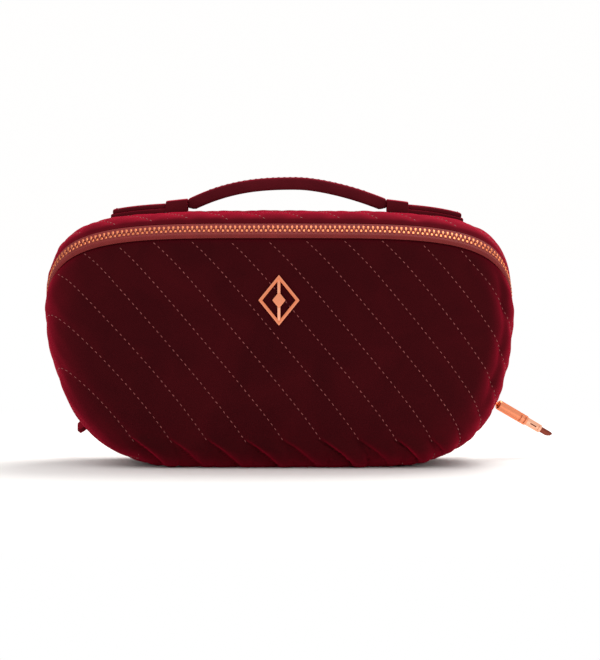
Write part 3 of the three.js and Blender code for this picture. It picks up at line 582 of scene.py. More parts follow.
foam = foam_material()
satin = woven_material("satin_lining", (0.075, 0.006, 0.012), (0.028, 0.003, 0.006), 9000, 0.6, 0.0001,
                       Sheen_Weight=0.4, Sheen_Tint=(0.5, 0.08, 0.12, 1), Specular_IOR_Level=0.6)
plain_form = filled_form("plain_form", ((9, 6), (3, 4), (5, 5)))
for side, word, body in SIDES:
    for layer, depth, thickness, slot in (("stiffener", STIFFENER_DEPTH, STIFFENER_THICKNESS, "foam"),
                                          ("lining", LINING_DEPTH, LINING_THICKNESS, "lining")):
        sheet = copy_of(plain_form, f"{word}_{layer}_sheet")
        cut_to_half(sheet, side, VELVET_EDGE[-1] + 0.0006, lips=False)
        points = points_of(sheet)
        points = points - skin_normals(points) * depth
        if layer == "lining":
            from_rim = (points - HINGE) @ ACROSS * side - 0.009
            creases = np.abs(wave(points, 0.034, 2.0 + side)) * smooth(from_rim / 0.02)
            points = points - skin_normals(points) * (creases * 0.0006)[:, None]
        move_points(sheet, points)
        if layer == "stiffener" and side < 0:
            delete_faces(sheet, lambda middle, normal: middle[1] < -0.03 and abs(middle[0]) < BACKPLATE_HALF_WIDTH
                         and abs(middle[2] - EMBLEM_MIDDLE[2]) < BACKPLATE_HALF_HEIGHT)
        modify(sheet, "SOLIDIFY", thickness=thickness, offset=-1)
        shade_soft(sheet, 50)
        settle(sheet, body, [f"{word}_{layer}"], foam if layer == "stiffener" else satin)
forget(plain_form)
forget(fine_form)

# ---------------------------------------------------------------- zip tapes
# Woven tape in a warm red, one on each half, sewn under the rim of the velvet. A cord runs along its free edge,
# and the teeth are clamped on that.

ZIP_END_RISE = 0.017
BELT_MIDDLE = HINGE + UP_SLOPE * ZIP_END_RISE


def seam_line(middle, up, steps):
    """The skin round a middle on the slanting plane, from right to left: places, ways outwards, and travel."""
    turn = np.linspace(0, math.pi, steps)
    ways = np.cos(turn)[:, None] * np.array([1, 0, 0]) + np.sin(turn)[:, None] * up
    at = to_skin(np.repeat(middle[None], steps, axis=0), ways)
    outward = skin_normals(at)
    outward = unit(outward - (outward @ ACROSS)[:, None] * ACROSS)
    return at, outward, np.concatenate([[0], np.cumsum(np.linalg.norm(np.diff(at, axis=0), axis=1))])


def beside(line, travel, depth, across):
    """A place this far along a line, under the skin, and across towards the lid, with the way outwards there."""
    at, outward = (np.stack([np.interp(travel, line[2], values[:, axis]) for axis in range(3)], axis=-1)
                   for values in line[:2])
    outward = unit(outward)
    return at - outward * np.asarray(depth)[..., None] + np.asarray(across)[..., None] * ACROSS, outward


belt = seam_line(BELT_MIDDLE, UP_SLOPE, 1600)
BELT_LENGTH = belt[2][-1]


def laid_grid(name, along, across, place, reverse=False):
    """A flat grid whose vertices are laid at place(share along, share across)."""
    bpy.ops.object.select_all(action="DESELECT")
    bpy.ops.mesh.primitive_grid_add(x_subdivisions=along, y_subdivisions=across, size=2)
    grid = named(bpy.context.object, name)
    flat = points_of(grid)
    move_points(grid, place((flat[:, 0] + 1) / 2, (flat[:, 1] + 1) / 2))
    if reverse:
        choose(grid, edit=True)
        bpy.ops.mesh.flip_normals()
        bpy.ops.object.mode_set(mode="OBJECT")
    return grid


TAPE_NEAR, TAPE_FAR, TAPE_THICKNESS, HERRINGBONE = 0.0004, 0.0064, 0.0006, 0.0007
tape_cloth = woven_material("zip_tape_cloth", (0.25, 0.030, 0.028), (0.13, 0.014, 0.014), 2 * math.pi / HERRINGBONE,
                            0.7, 0.00015, (BELT_LENGTH, TAPE_FAR - TAPE_NEAR),
                            Sheen_Weight=0.1, Sheen_Tint=(0.6, 0.08, 0.08, 1), Specular_IOR_Level=0.1)
for side, word, body in SIDES:
    def tape_place(along, across):
        out = TAPE_NEAR + (TAPE_FAR - TAPE_NEAR) * across
        depth = 0.0012 - 0.00025 * (1 - smooth((out - 0.0008) / 0.0022)) + 0.0008 * smooth((out - 0.0046) / 0.0014)
        return beside(belt, along * BELT_LENGTH, depth, out * side)[0]
    tape = laid_grid(f"{word}_tape", 300, 14, tape_place, reverse=side < 0)
    modify(tape, "SOLIDIFY", thickness=TAPE_THICKNESS, offset=-1)
    shade_soft(tape, 40)
    settle(tape, body, [f"{word}_zip_tape"], tape_cloth)

# ---------------------------------------------------------------- zip teeth
# Rose gold metal teeth, one row clamped to the cord of each tape. The rows are set half a pitch apart, so the
# heads of one row stand in the gaps of the other; along the slider's run they stand apart to let its neck by.

TOOTH_PITCH = 0.0024
TOOTH_ALONG, TOOTH_ACROSS, TOOTH_THICK = 0.0012, 0.0030, 0.0021
TOOTH_MIDDLE, TOOTH_DEPTH = 0.00118, 0.0013
SLIDER_RUN, RUN_SPREAD = 0.060, 0.00066


def metal_grain():
    """Shared by every metal piece: fine polishing marks, soft clouding, and edges painted brighter, as wear and
    highlight.
    """
    group, given = surface_group("polished metal", {"Colour": "Color", "Edge_Wear_And_Highlight": "Color", "Roughness": "Float"})
    place = add_node(group, "TexCoord").outputs["Object"]
    # Painted highlight and wear: sharp convex edges, found by the mesh's pointiness, turn to the brighter edge
    # colour.
    edges = rescale(group, add_node(group, "NewGeometry").outputs["Pointiness"], 0.52, 0.62)
    rough = reckon(group, "MULTIPLY_ADD", noise(group, place, 260), 0.16, given["Roughness"])
    return put_out(group, mixed(group, edges, given["Colour"], given["Edge_Wear_And_Highlight"]), rough,
                   noise(group, place, 2600, 5))


grain = metal_grain()


def metal_material(name, colour, edge_wear_and_highlight, roughness):
    material, tree, shader = new_material(name, Metallic=1.0, Specular_Tint=(*edge_wear_and_highlight, 1))
    given = {"Colour": (*colour, 1), "Edge_Wear_And_Highlight": (*edge_wear_and_highlight, 1), "Roughness": roughness}
    metal = add_node(tree, "Group", given, node_tree=grain).outputs
    dress(tree, shader, metal["Colour"], metal["Roughness"], metal["Height"], 0.12, 0.00005)
    return material


# Each metal's second colour is its brighter edges, painted as highlight and wear, and also its edge tint.
rose_gold = metal_material("rose_gold", (0.76, 0.23, 0.11), (0.92, 0.42, 0.26), 0.18)
teeth_metal = metal_material("teeth_rose_gold", (0.56, 0.17, 0.075), (0.70, 0.26, 0.14), 0.34)


def soften(piece, width, segments=2, degrees=35):
    modify(piece, "BEVEL", width=width, segments=segments, limit_method="ANGLE", angle_limit=math.radians(degrees))
    shade_soft(piece, 40)


def block(name, size, middle=(0, 0, 0)):
    bpy.ops.object.select_all(action="DESELECT")
    bpy.ops.mesh.primitive_cube_add(size=1, location=middle, scale=size)
    return fresh(name)


# One tooth: X along the zip, Y outward, Z from the gap towards the tape, with a narrow head and spread legs.
tooth = block("tooth", (TOOTH_ALONG, TOOTH_THICK, TOOTH_ACROSS), (0, 0, TOOTH_MIDDLE))
cut_along(tooth, 2, 2)
points = points_of(tooth)
level = (points[:, 2] - TOOTH_MIDDLE) / TOOTH_ACROSS
head, legs = level < -0.4, level > 0.4
points[head, 0] *= 0.72
points[head, 1] *= 0.62
points[np.abs(level + 0.1667) < 0.05, 0] *= 0.8
points[legs, 1] *= 1.12
points[legs, 0] *= 0.92
move_points(tooth, points)
soften(tooth, 0.00016, 1)
for side, word, body in SIDES:
    count = int(BELT_LENGTH / TOOTH_PITCH)
    travels = (np.arange(count) + (0.25 if side < 0 else 0.75)) * BELT_LENGTH / count
    spread = RUN_SPREAD * (1 - smooth((travels - SLIDER_RUN) / 0.010))
    at, outward = beside(belt, travels, np.full(count, TOOTH_DEPTH), spread * side)
    places = [frame_matrix(point, np.cross(out, ACROSS * side), out, ACROSS * side)
              for point, out in zip(at, outward)]
    teeth = laid_copies(tooth, places, f"{word}_teeth")
    settle(teeth, body, [f"{word}_zip_teeth"], teeth_metal)
forget(tooth)

# ---------------------------------------------------------------- zip stops and end tabs
# A metal stop is clamped across the chain at each end. Beyond it a folded tab of velvet is sewn over the end of
# the tape and stands out from the side of the bag.

STOP_SIZE = (0.0014, 0.0044, 0.0024)
STOP_SUNK, STOP_BELOW = 0.0007, 0.0015
TAB_LENGTH = {"right": 0.0145, "left": 0.0190}
TAB_WIDTH, TAB_THICKNESS = 0.0096, 0.0022
TAB_LEVEL, TAB_SUNK, TAB_SEAM = 0.0126, 0.0018, 0.34
TAB_TURN = {"right": -24, "left": 17}


def right_edge(level, sunk):
    """A place on the right side, this far up the slope from the hinge, with the outward and upward ways there."""
    at = to_skin((HINGE + UP_SLOPE * level)[None], np.array([[1.0, 0, 0]]))
    outward = skin_normals(at)[0]
    outward = unit(outward - (outward @ ACROSS) * ACROSS)
    return at[0] - outward * sunk, outward, np.cross(outward, ACROSS)


def mirrored(piece):
    """Turns the mesh over to the left side, with its faces still outwards."""
    piece.data.transform(Matrix.Scale(-1, 4, (1, 0, 0)))
    choose(piece, edit=True)
    bpy.ops.mesh.flip_normals()
    bpy.ops.object.mode_set(mode="OBJECT")


# The third colour is the painted sheen at grazing angles, and also the tint of the shader's own sheen.
strap_velvet = velvet_material("strap_velvet", (0.080, 0.0060, 0.0100), (0.115, 0.0085, 0.0135),
                               (0.36, 0.008, 0.030))
dark_thread = thread_material("burgundy_thread", (0.15, 0.012, 0.020), (0.06, 0.004, 0.008))
tab_stitch = stitch_pattern(0.0016, 0.0002)
for word in ("right", "left"):
    middle, outward, upward = right_edge(ZIP_END_RISE, STOP_SUNK)
    stop = block(f"zip_stop_{word}", STOP_SIZE, (-STOP_SIZE[0] / 2, 0, -STOP_BELOW))
    cut_along(stop, 1, 5)
    points = points_of(stop)
    points[:, 0] += 0.0002 * np.cos(points[:, 1] / STOP_SIZE[1] * 4 * math.pi)
    move_points(stop, points)
    soften(stop, 0.0003, 2)
    stop.data.transform(frame_matrix(middle, outward, ACROSS, upward))

    tab_length = TAB_LENGTH[word]
    tab = block(f"end_tab_{word}", (tab_length, TAB_WIDTH, TAB_THICKNESS), (tab_length / 2, 0, 0))
    for axis, cuts in enumerate((11, 5, 1)):
        cut_along(tab, axis, cuts)
    points = points_of(tab)
    along = points[:, 0] / tab_length
    waist = 1 - 0.4 * np.exp(-((along - TAB_SEAM) / 0.07) ** 2)
    points[:, 2] *= waist * (1 + 0.25 * smooth((along - 0.8) / 0.2))
    points[:, 2] += 0.0005 * np.sin(along * 4.0) * along
    points[:, 1] *= 1 - 0.06 * np.sin(along * math.pi) - 0.34 * smooth((along - 0.72) / 0.28) ** 2
    move_points(tab, points)
    soften(tab, 0.0006, 3, 50)
    lift = 0.0005 * math.sin(TAB_SEAM * 4.0) * TAB_SEAM
    rows = [frame_matrix((TAB_SEAM * tab_length, (step - 2) * 0.0018, face * TAB_THICKNESS * 0.30 + lift),
                         (1, 0, 0), (0, 0, -1), (0, 1, 0)) for step in range(5) for face in (-1, 1)]
    seam = laid_copies(tab_stitch, rows, f"end_tab_thread_{word}")
    middle, outward, upward = right_edge(TAB_LEVEL, TAB_SUNK)
    turn = frame_matrix(middle, outward, ACROSS, upward) @ Matrix.Rotation(-math.radians(TAB_TURN[word]), 4, "Y")
    tab.data.transform(turn)
    seam.data.transform(turn)
    if word == "left":
        for piece in (stop, tab, seam):
            mirrored(piece)
    settle(stop, "base", ["zip_bottom_stop" if word == "right" else "zip_top_stop"], rose_gold)
    # The tabs take the darker quilted velvet, not the strap velvet: painted shade for tabs that sit in the bag's
    # shade.
    settle(tab, "base", [f"zip_end_tab_{word}"], velvet)
    settle(seam, "base", material=dark_thread)

# ---------------------------------------------------------------- bound seams and hinge cloth
# Inside, the raw seam beside each tape is bound with folded satin. Along the hinge a strip of velvet joins the
# two halves behind their lips.

# Across the fold: shares of its width, how far out from the middle of the zip each lies, and how deep.
BINDING_FOLD = ((0, 0.35, 0.5, 1), (0.0055, 0.0055, 0.0062, 0.0094), (0.0038, 0.0056, 0.0065, 0.0066))
BINDING_THICKNESS = 0.0005
HINGE_CLOTH_DEPTH, HINGE_CLOTH_HALF, HINGE_CLOTH_THICKNESS, HINGE_CLOTH_BEND = 0.0034, 0.0048, 0.0006, 0.0042
for side, word, body in SIDES:
    def binding_place(along, across):
        shares, outs, depths = BINDING_FOLD
        gathers = 0.00012 * across * np.sin(along * BELT_LENGTH * 2 * math.pi / 0.006)
        return beside(belt, along * BELT_LENGTH, np.interp(across, shares, depths) + gathers,
                      np.interp(across, shares, outs) * side)[0]
    binding = laid_grid(f"{word}_bound_seam", 260, 20, binding_place, reverse=side < 0)
    modify(binding, "SOLIDIFY", thickness=BINDING_THICKNESS, offset=-1)
    shade_soft(binding, 50)
    settle(binding, body, [f"{word}_seam_binding"], satin)

lip_line = seam_line(HINGE + UP_SLOPE * LIP_TOP, -UP_SLOPE, 400)


def hinge_place(along, across):
    width = (across * 2 - 1) * HINGE_CLOTH_HALF
    return beside(lip_line, along * lip_line[2][-1], np.full(len(along), HINGE_CLOTH_DEPTH), width)[0]


hinge_cloth = laid_grid("hinge_cloth", 150, 20, hinge_place, reverse=True)
modify(hinge_cloth, "SOLIDIFY", thickness=HINGE_CLOTH_THICKNESS, offset=-1)
shade_soft(hinge_cloth, 50)
settle(hinge_cloth, None, ["hinge_strip"], strap_velvet)
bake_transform(hinge_cloth)

# ---------------------------------------------------------------- slip pocket
# A flat satin pocket on the lining of the front. Its mouth is bound in velvet, and its other three sides are sewn
# to the lining with a row of burgundy stitches.

SEWING_PITCH = 0.0032
low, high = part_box("slip_pocket")
pocket_middle, pocket_width, pocket_height = (low.y + high.y) / 2, high.x - low.x, high.z - low.z


def pocket_place(along, across):
    slack = 0.0011 * np.sin(np.pi * along) ** 0.7 * across ** 2
    folds = 0.5 + 0.5 * np.sin(along * 23 + across * 2)
    return np.stack([low.x + pocket_width * along, pocket_middle + slack * folds,
                     low.z + pocket_height * across], axis=1)


pocket = laid_grid("slip_pocket_cloth", 70, 28, pocket_place, reverse=True)
modify(pocket, "SOLIDIFY", thickness=0.0005, offset=0)
shade_soft(pocket, 50)
settle(pocket, "base", ["slip_pocket"], satin)


def mouth_ease(x):
    """How far the mouth stands away from the lining."""
    return 0.0004 * np.sin(x * 310) + 0.0009 * np.cos(x / pocket_width * math.pi)


low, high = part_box("pocket_binding")
mouth = block("pocket_mouth_binding", tuple(high - low), tuple((high + low) / 2))
cut_along(mouth, 0, 47)
points = points_of(mouth)
points[:, 1] += mouth_ease(points[:, 0])
move_points(mouth, points)
soften(mouth, 0.0005, 3, 50)
settle(mouth, "base", ["pocket_binding"], strap_velvet)
sewing = []
for step in range(int(pocket_width / SEWING_PITCH)):
    x = -pocket_width / 2 + (step + 0.5) * SEWING_PITCH
    sewing.append(frame_matrix((x, high.y + mouth_ease(x), low.z + 0.0009), (0, 1, 0), (0, 0, 1), (1, 0, 0)))
for edge in (-1, 1):
    for step in range(int(pocket_height / SEWING_PITCH)):
        at = (edge * (pocket_width / 2 - 0.0012), pocket_middle + 0.0003, low.z - 0.0016 - step * SEWING_PITCH)
        sewing.append(frame_matrix(at, (0, 1, 0), (-1, 0, 0), (0, 0, 1)))
settle(laid_copies(tab_stitch, sewing, "pocket_thread"), "base", material=dark_thread)

# ---------------------------------------------------------------- brush band
# A band of satin elastic across the lining of the lid. It is tacked down at intervals with burgundy thread, so that
# it forms a row of loops for brushes.

BRUSH_LOOPS, LOOP_DEPTH = 6, 0.0034
low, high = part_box("brush_band")
band_width, band_height = high.x - low.x, high.z - low.z


def band_place(along, across):
    loop = np.abs(np.sin(along * math.pi * BRUSH_LOOPS)) ** 0.8 * (1 - 0.15 * np.cos(across * 2 * math.pi))
    return np.stack([low.x + band_width * along, high.y - 0.0005 - LOOP_DEPTH * loop,
                     low.z + band_height * across], axis=1)


band = laid_grid("brush_loops", 144, 12, band_place)
modify(band, "SOLIDIFY", thickness=0.0007, offset=-1)
soften(band, 0.0002, 2, 50)
settle(band, "lid", ["brush_band"], satin)
tacks = []
for number in range(BRUSH_LOOPS + 1):
    x = low.x + band_width * min(max(number / BRUSH_LOOPS, 0.008), 0.992)
    for row in range(6):
        at = (x, high.y - 0.0009, low.z + 0.0014 + row * 0.0031)
        tacks.append(frame_matrix(at, (0, 1, 0), (-1, 0, 0), (0, 0, 1)))
settle(laid_copies(tab_stitch, tacks, "brush_band_thread"), "lid", material=dark_thread)

# ---------------------------------------------------------------- emblem
# A polished lozenge frame with a small lozenge on an upright bar, standing in front of the velvet on two posts
# that go through to a plate behind the wadding.

low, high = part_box("emblem")
EMBLEM_HALF_WIDTH, EMBLEM_HALF_HEIGHT = (high.x - low.x) / 2, (high.z - low.z) / 2
EMBLEM_STROKE, EMBLEM_THICKNESS = 0.0017, 0.0014
EMBLEM_BACK = low.y + EMBLEM_THICKNESS
emblem_level = (high.z + low.z) / 2


def lozenge(name, half_width, half_height, stroke=None):
    """A lozenge plate facing the front, open in the middle if it has a stroke."""
    bpy.ops.object.select_all(action="DESELECT")
    bpy.ops.mesh.primitive_circle_add(vertices=4, radius=1, fill_type="NGON", rotation=(math.pi / 2, 0, 0),
                                      location=(0, EMBLEM_BACK, emblem_level))
    plate = fresh(name)
    points = points_of(plate)
    points[:, 0] *= half_width
    points[:, 2] = emblem_level + (points[:, 2] - emblem_level) * half_height
    move_points(plate, points)
    if stroke:
        choose(plate, edit=True)
        bpy.ops.mesh.inset(thickness=stroke, use_even_offset=True)
        bpy.ops.mesh.delete(type="FACE")
        bpy.ops.object.mode_set(mode="OBJECT")
    modify(plate, "SOLIDIFY", thickness=EMBLEM_THICKNESS, offset=1)
    return plate


def closed_outwards(piece):
    choose(piece, edit=True)
    bpy.ops.mesh.remove_doubles(threshold=1e-6)
    bpy.ops.mesh.normals_make_consistent(inside=False)
    bpy.ops.object.mode_set(mode="OBJECT")


def rod(name, radius, length, sides, rim):
    """A round rod along Z from the origin, with a softened rim at each end."""
    bpy.ops.object.select_all(action="DESELECT")
    bpy.ops.mesh.primitive_cylinder_add(vertices=sides, radius=radius, depth=length, location=(0, 0, length / 2))
    piece = fresh(name)
    soften(piece, rim, 2, 50)
    return piece


emblem_pieces = [
    lozenge("emblem_frame", EMBLEM_HALF_WIDTH, EMBLEM_HALF_HEIGHT, EMBLEM_STROKE),
    lozenge("emblem_heart", EMBLEM_HALF_WIDTH / 3, EMBLEM_HALF_HEIGHT / 3),
    block("emblem_bar", (EMBLEM_STROKE, EMBLEM_THICKNESS * 0.86, EMBLEM_HALF_HEIGHT * 2 - EMBLEM_STROKE * 2.4),
          (0, EMBLEM_BACK - EMBLEM_THICKNESS * 0.43, emblem_level)),
]
for piece in emblem_pieces:
    closed_outwards(piece)
    soften(piece, 0.00042, 3, 30)
for lift in (-1, 1):
    post = rod("emblem_post", 0.0008, high.y - EMBLEM_BACK + 0.0004, 20, 0.0001)
    post_level = emblem_level + lift * (EMBLEM_HALF_HEIGHT - EMBLEM_STROKE * 1.2)
    post.data.transform(frame_matrix((0, EMBLEM_BACK - 0.0004, post_level), (1, 0, 0), (0, 0, -1), (0, 1, 0)))
    emblem_pieces.append(post)
settle(joined("lozenge_emblem", emblem_pieces), "base", ["emblem"], rose_gold)
put_material(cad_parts["emblem_backplate"], rose_gold)

# ---------------------------------------------------------------- slider
# A cast slider: two plates joined by a neck between the rows of teeth, with flanges that hold the tape, and a
# wire bridge for the pull.

slider_origin, slider_out, slider_up = right_edge(ZIP_END_RISE + 0.0062, TOOTH_DEPTH)
PLATE_INSIDE, PLATE_THICKNESS, SLIDER_WIDTH, SLIDER_LENGTH = 0.0017, 0.0010, 0.0084, 0.0090
PLATE_OUTSIDE = PLATE_INSIDE + PLATE_THICKNESS
NECK_THICKNESS, NECK_LENGTH, NECK_LEVEL = 0.00024, 0.0030, 0.0018
FLANGE_REACH, FLANGE_THICKNESS, FLANGE_ROOT = 0.0006, 0.0006, 0.0003
slider_pieces = []
for side in (-1, 1):
    plate = block("slider_plate", (PLATE_THICKNESS, SLIDER_WIDTH, SLIDER_LENGTH),
                  (side * (PLATE_INSIDE + PLATE_THICKNESS / 2), 0, 0))
    cut_along(plate, 1, 7)
    cut_along(plate, 2, 9)
    points = points_of(plate)
    up_share = points[:, 2] / SLIDER_LENGTH
    points[:, 1] *= 1 - 0.34 * smooth((-up_share - 0.12) / 0.38) - 0.16 * smooth((up_share - 0.34) / 0.16)
    across_share = np.abs(points[:, 1]) / (SLIDER_WIDTH / 2)
    points[:, 2] *= 1 - 0.12 * across_share ** 2 * (up_share < 0)
    points[:, 2] -= np.where(up_share > 0, 0.0011 * np.exp(-(points[:, 1] / 0.0013) ** 2) * up_share * 2, 0)
    outer = points[:, 0] * side > PLATE_INSIDE + PLATE_THICKNESS / 2
    points[outer, 0] += side * 0.00035 * (1 - across_share[outer] ** 2) * (1 - (2 * up_share[outer]) ** 2)
    move_points(plate, points)
    soften(plate, 0.00028, 3, 40)
    slider_pieces.append(plate)
    for edge in (-1, 1):
        flange = block("slider_flange", (FLANGE_REACH + FLANGE_ROOT, FLANGE_THICKNESS, SLIDER_LENGTH * 0.62),
                       (side * (PLATE_INSIDE + FLANGE_ROOT - FLANGE_REACH / 2),
                        edge * (SLIDER_WIDTH / 2 - 0.00034), 0.0005))
        soften(flange, 0.00018, 2)
        slider_pieces.append(flange)
neck = block("slider_neck", (PLATE_INSIDE * 2 + PLATE_THICKNESS, NECK_THICKNESS, NECK_LENGTH), (0, 0, NECK_LEVEL))
soften(neck, 0.00008, 2)
slider_pieces.append(neck)
slider_piece = joined("zip_slider", slider_pieces)
slider_turn = frame_matrix(slider_origin, slider_out, ACROSS, slider_up)
slider_piece.data.transform(slider_turn)
settle(slider_piece, "slider", ["slider_body"], rose_gold)

BRIDGE_MIDDLE, BRIDGE_RADIUS, WIRE_RADIUS = 0.0042, 0.0032, 0.0006
bpy.ops.object.select_all(action="DESELECT")
bpy.ops.mesh.primitive_torus_add(major_segments=48, minor_segments=16, major_radius=BRIDGE_RADIUS,
                                 minor_radius=WIRE_RADIUS, rotation=(math.pi / 2, 0, 0),
                                 location=(BRIDGE_MIDDLE, 0, 0))
bridge = fresh("slider_wire_bridge")
choose(bridge, edit=True)
bpy.ops.mesh.bisect(plane_co=(PLATE_OUTSIDE + 0.0002, 0, 0), plane_no=(1, 0, 0), clear_inner=True, use_fill=True)
bpy.ops.object.mode_set(mode="OBJECT")
shade_soft(bridge, 40)
bridge_pieces = [bridge]
for edge in (-1, 1):
    foot = block("bridge_foot", (0.0006, 0.0024, 0.0020),
                 (PLATE_OUTSIDE + 0.0003, 0, edge * (BRIDGE_RADIUS - 0.0002)))
    soften(foot, 0.0002, 2)
    bridge_pieces.append(foot)
bridge = joined("slider_wire_bridge", bridge_pieces)
bridge.data.transform(slider_turn)
settle(bridge, "slider", ["slider_bridge"], rose_gold)

# ---------------------------------------------------------------- pull
# A pull in the shape of a cosmetic stick: an eye round the bridge, a plain barrel with turned grooves, a pale
# inner sleeve, and a copper tip with a slanting cut. The pieces are pushed into one another.

PULL_OUT_ANGLE = math.radians(35.6)
pull_origin = slider_origin + slider_out * BRIDGE_MIDDLE
pull_way = np.array([math.cos(PULL_OUT_ANGLE), 0, 0]) - UP_SLOPE * math.sin(PULL_OUT_ANGLE)
pull_turn = frame_matrix(pull_origin, np.cross(ACROSS, pull_way), ACROSS, pull_way)
EYE_RADIUS, EYE_WIRE = 0.00155, 0.0005
CASE_START, CASE_END, CASE_RADIUS = 0.0052, 0.0242, 0.0026
SLEEVE_END, SLEEVE_RADIUS = 0.0338, 0.00215
TIP_END, TIP_RADIUS, TIP_CUT = 0.0419, 0.0015, math.radians(40)
SOCKET, SOCKET_PLAY = 0.0030, 0.0003
GROOVE_DEPTH, GROOVE_STEP, GROOVES_FROM_END = 0.00025, 0.00022, (0.0050, 0.0022)
pale_gold = metal_material("pale_rose_gold", (0.82, 0.38, 0.24), (0.94, 0.56, 0.40), 0.16)
copper = metal_material("copper_brown", (0.22, 0.050, 0.032), (0.36, 0.10, 0.065), 0.2)
# Near-black metal for the slot: painted shade for the inside of an engraved slit.
painted_slot_shade = metal_material("dark_slot_shade", (0.06, 0.02, 0.015), (0.12, 0.04, 0.03), 0.3)


def turned(name, profile, sides=48):
    """A round piece turned about Z, grown from its first ring by extruding and resizing."""
    bpy.ops.object.select_all(action="DESELECT")
    level, radius = profile[0]
    bpy.ops.mesh.primitive_circle_add(vertices=sides, radius=radius, fill_type="NGON", location=(0, 0, level))
    piece = fresh(name)
    choose(piece, edit=True)
    bpy.ops.mesh.select_mode(type="FACE")
    for next_level, next_radius in profile[1:]:
        bpy.ops.mesh.extrude_region_move(TRANSFORM_OT_translate={"value": (0, 0, next_level - level)})
        bpy.ops.transform.resize(value=(next_radius / radius, next_radius / radius, 1))
        level, radius = next_level, next_radius
    bpy.ops.mesh.select_all(action="SELECT")
    bpy.ops.mesh.normals_make_consistent(inside=False)
    bpy.ops.object.mode_set(mode="OBJECT")
    shade_soft(piece, 32)
    return piece


bpy.ops.object.select_all(action="DESELECT")
bpy.ops.mesh.primitive_torus_add(major_segments=40, minor_segments=16, major_radius=EYE_RADIUS,
                                 minor_radius=EYE_WIRE, rotation=(0, math.pi / 2, 0),
                                 location=(0, 0, BRIDGE_RADIUS))
ring = fresh("pull_ring")
shade_soft(ring, 60)
eye_end = BRIDGE_RADIUS + EYE_RADIUS
stem = turned("pull_stem", [(eye_end - 0.0001, 0.0005), (eye_end + 0.0005, 0.0011), (CASE_START, 0.00125),
                            (CASE_START + SOCKET - SOCKET_PLAY, 0.00125)], 28)
eye = joined("pull_ring_and_stem", [ring, stem])


def stations(start, *steps):
    """A profile given as steps past a start, each with the radius there."""
    return [(start + step, radius) for step, radius in steps]


case_profile = stations(CASE_START, (SOCKET, 0.00135), (0.0001, 0.00135), (0, 0.0015), (0.0002, 0.0020),
                        (0.0005, CASE_RADIUS - 0.00025), (0.0009, CASE_RADIUS - 0.00007), (0.0014, CASE_RADIUS))
for from_end in GROOVES_FROM_END:
    case_profile += stations(CASE_END - from_end, (0, CASE_RADIUS), (GROOVE_STEP, CASE_RADIUS - GROOVE_DEPTH),
                             (GROOVE_STEP * 3, CASE_RADIUS - GROOVE_DEPTH), (GROOVE_STEP * 4, CASE_RADIUS))
case_profile += stations(CASE_END, (-0.0002, CASE_RADIUS), (0, CASE_RADIUS - 0.00015),
                         (0, SLEEVE_RADIUS + 0.0001), (-SOCKET, SLEEVE_RADIUS + 0.0001))
case = turned("pull_barrel", case_profile)
sleeve_profile = stations(CASE_END - SOCKET + SOCKET_PLAY, (0, SLEEVE_RADIUS - 0.0002), (0.0002, SLEEVE_RADIUS))
sleeve_profile += stations(SLEEVE_END, (-0.0022, SLEEVE_RADIUS), (-0.0021, SLEEVE_RADIUS - 0.00012),
                           (-0.0018, SLEEVE_RADIUS - 0.00012), (-0.0017, SLEEVE_RADIUS), (-0.0003, SLEEVE_RADIUS),
                           (0, SLEEVE_RADIUS - 0.0003), (0, TIP_RADIUS + 0.00008), (-SOCKET, TIP_RADIUS + 0.00008))
sleeve = turned("pull_sleeve", sleeve_profile)
tip = turned("pull_tip", [(SLEEVE_END - SOCKET + SOCKET_PLAY, TIP_RADIUS)] + [
    (TIP_END - TIP_RADIUS * back, TIP_RADIUS * share)
    for back, share in ((1.5, 1), (1, 0.95), (0.5, 0.8), (0.15, 0.5), (0, 0.2))])
choose(tip, edit=True)
bpy.ops.mesh.bisect(plane_co=(0, 0, TIP_END - TIP_RADIUS * 1.5), plane_no=(math.cos(TIP_CUT), 0, math.sin(TIP_CUT)),
                    clear_outer=True, use_fill=True)
bpy.ops.object.mode_set(mode="OBJECT")
soften(tip, 0.00018, 3, 28)
# The slot is a thin dark strip laid on the sleeve: painted shade where an engraved slit would hold shade.
slot = block("pull_slot", (0.0003, 0.0006, 0.0040), (0, 0, (CASE_END + SLEEVE_END) / 2 - 0.0006))
soften(slot, 0.0001, 2)
front_way = unit(np.array([0, -1.0, 0]) + pull_way * pull_way[1])
slot.data.transform(frame_matrix(pull_origin + front_way * (SLEEVE_RADIUS - 0.00004), front_way,
                                 np.cross(pull_way, front_way), pull_way))
for piece, slot_name, replaced, material in (
        (eye, "rose_gold", ["pull_eye"], rose_gold), (case, "rose_gold", ["pull_case"], rose_gold),
        (sleeve, "pale_rose_gold", ["pull_tube"], pale_gold), (tip, "copper", ["pull_bullet"], copper)):
    piece.data.transform(pull_turn)
    settle(piece, "pull", replaced, material)
settle(slot, "pull", material=painted_slot_shade)

# ---------------------------------------------------------------- handle ends and keepers
# A velvet patch is sewn to the top under each end of the handle. The flat end of the strap lies on it, and a
# velvet keeper is wrapped over both and sewn down at its sides.

STRAP_WIDTH, STRAP_LAYER, STRAP_GAP = 0.015, 0.0020, 0.0003
PATCH_OUTER, PATCH_INNER, END_SHORTER = 0.091, 0.0515, 0.001
KEEPER_WIDTH, KEEPER_THICKNESS, KEEPER_TILT = 0.011, 0.0012, 0.07
END_LIFT = STRAP_GAP * 2 + STRAP_LAYER


def top_level(x):
    starts = np.stack([x, np.full_like(x, HANDLE_Y), np.full_like(x, WIDEST)], axis=1)
    return to_skin(starts, np.repeat(np.array([[0, 0, 1.0]]), len(x), axis=0))[:, 2]


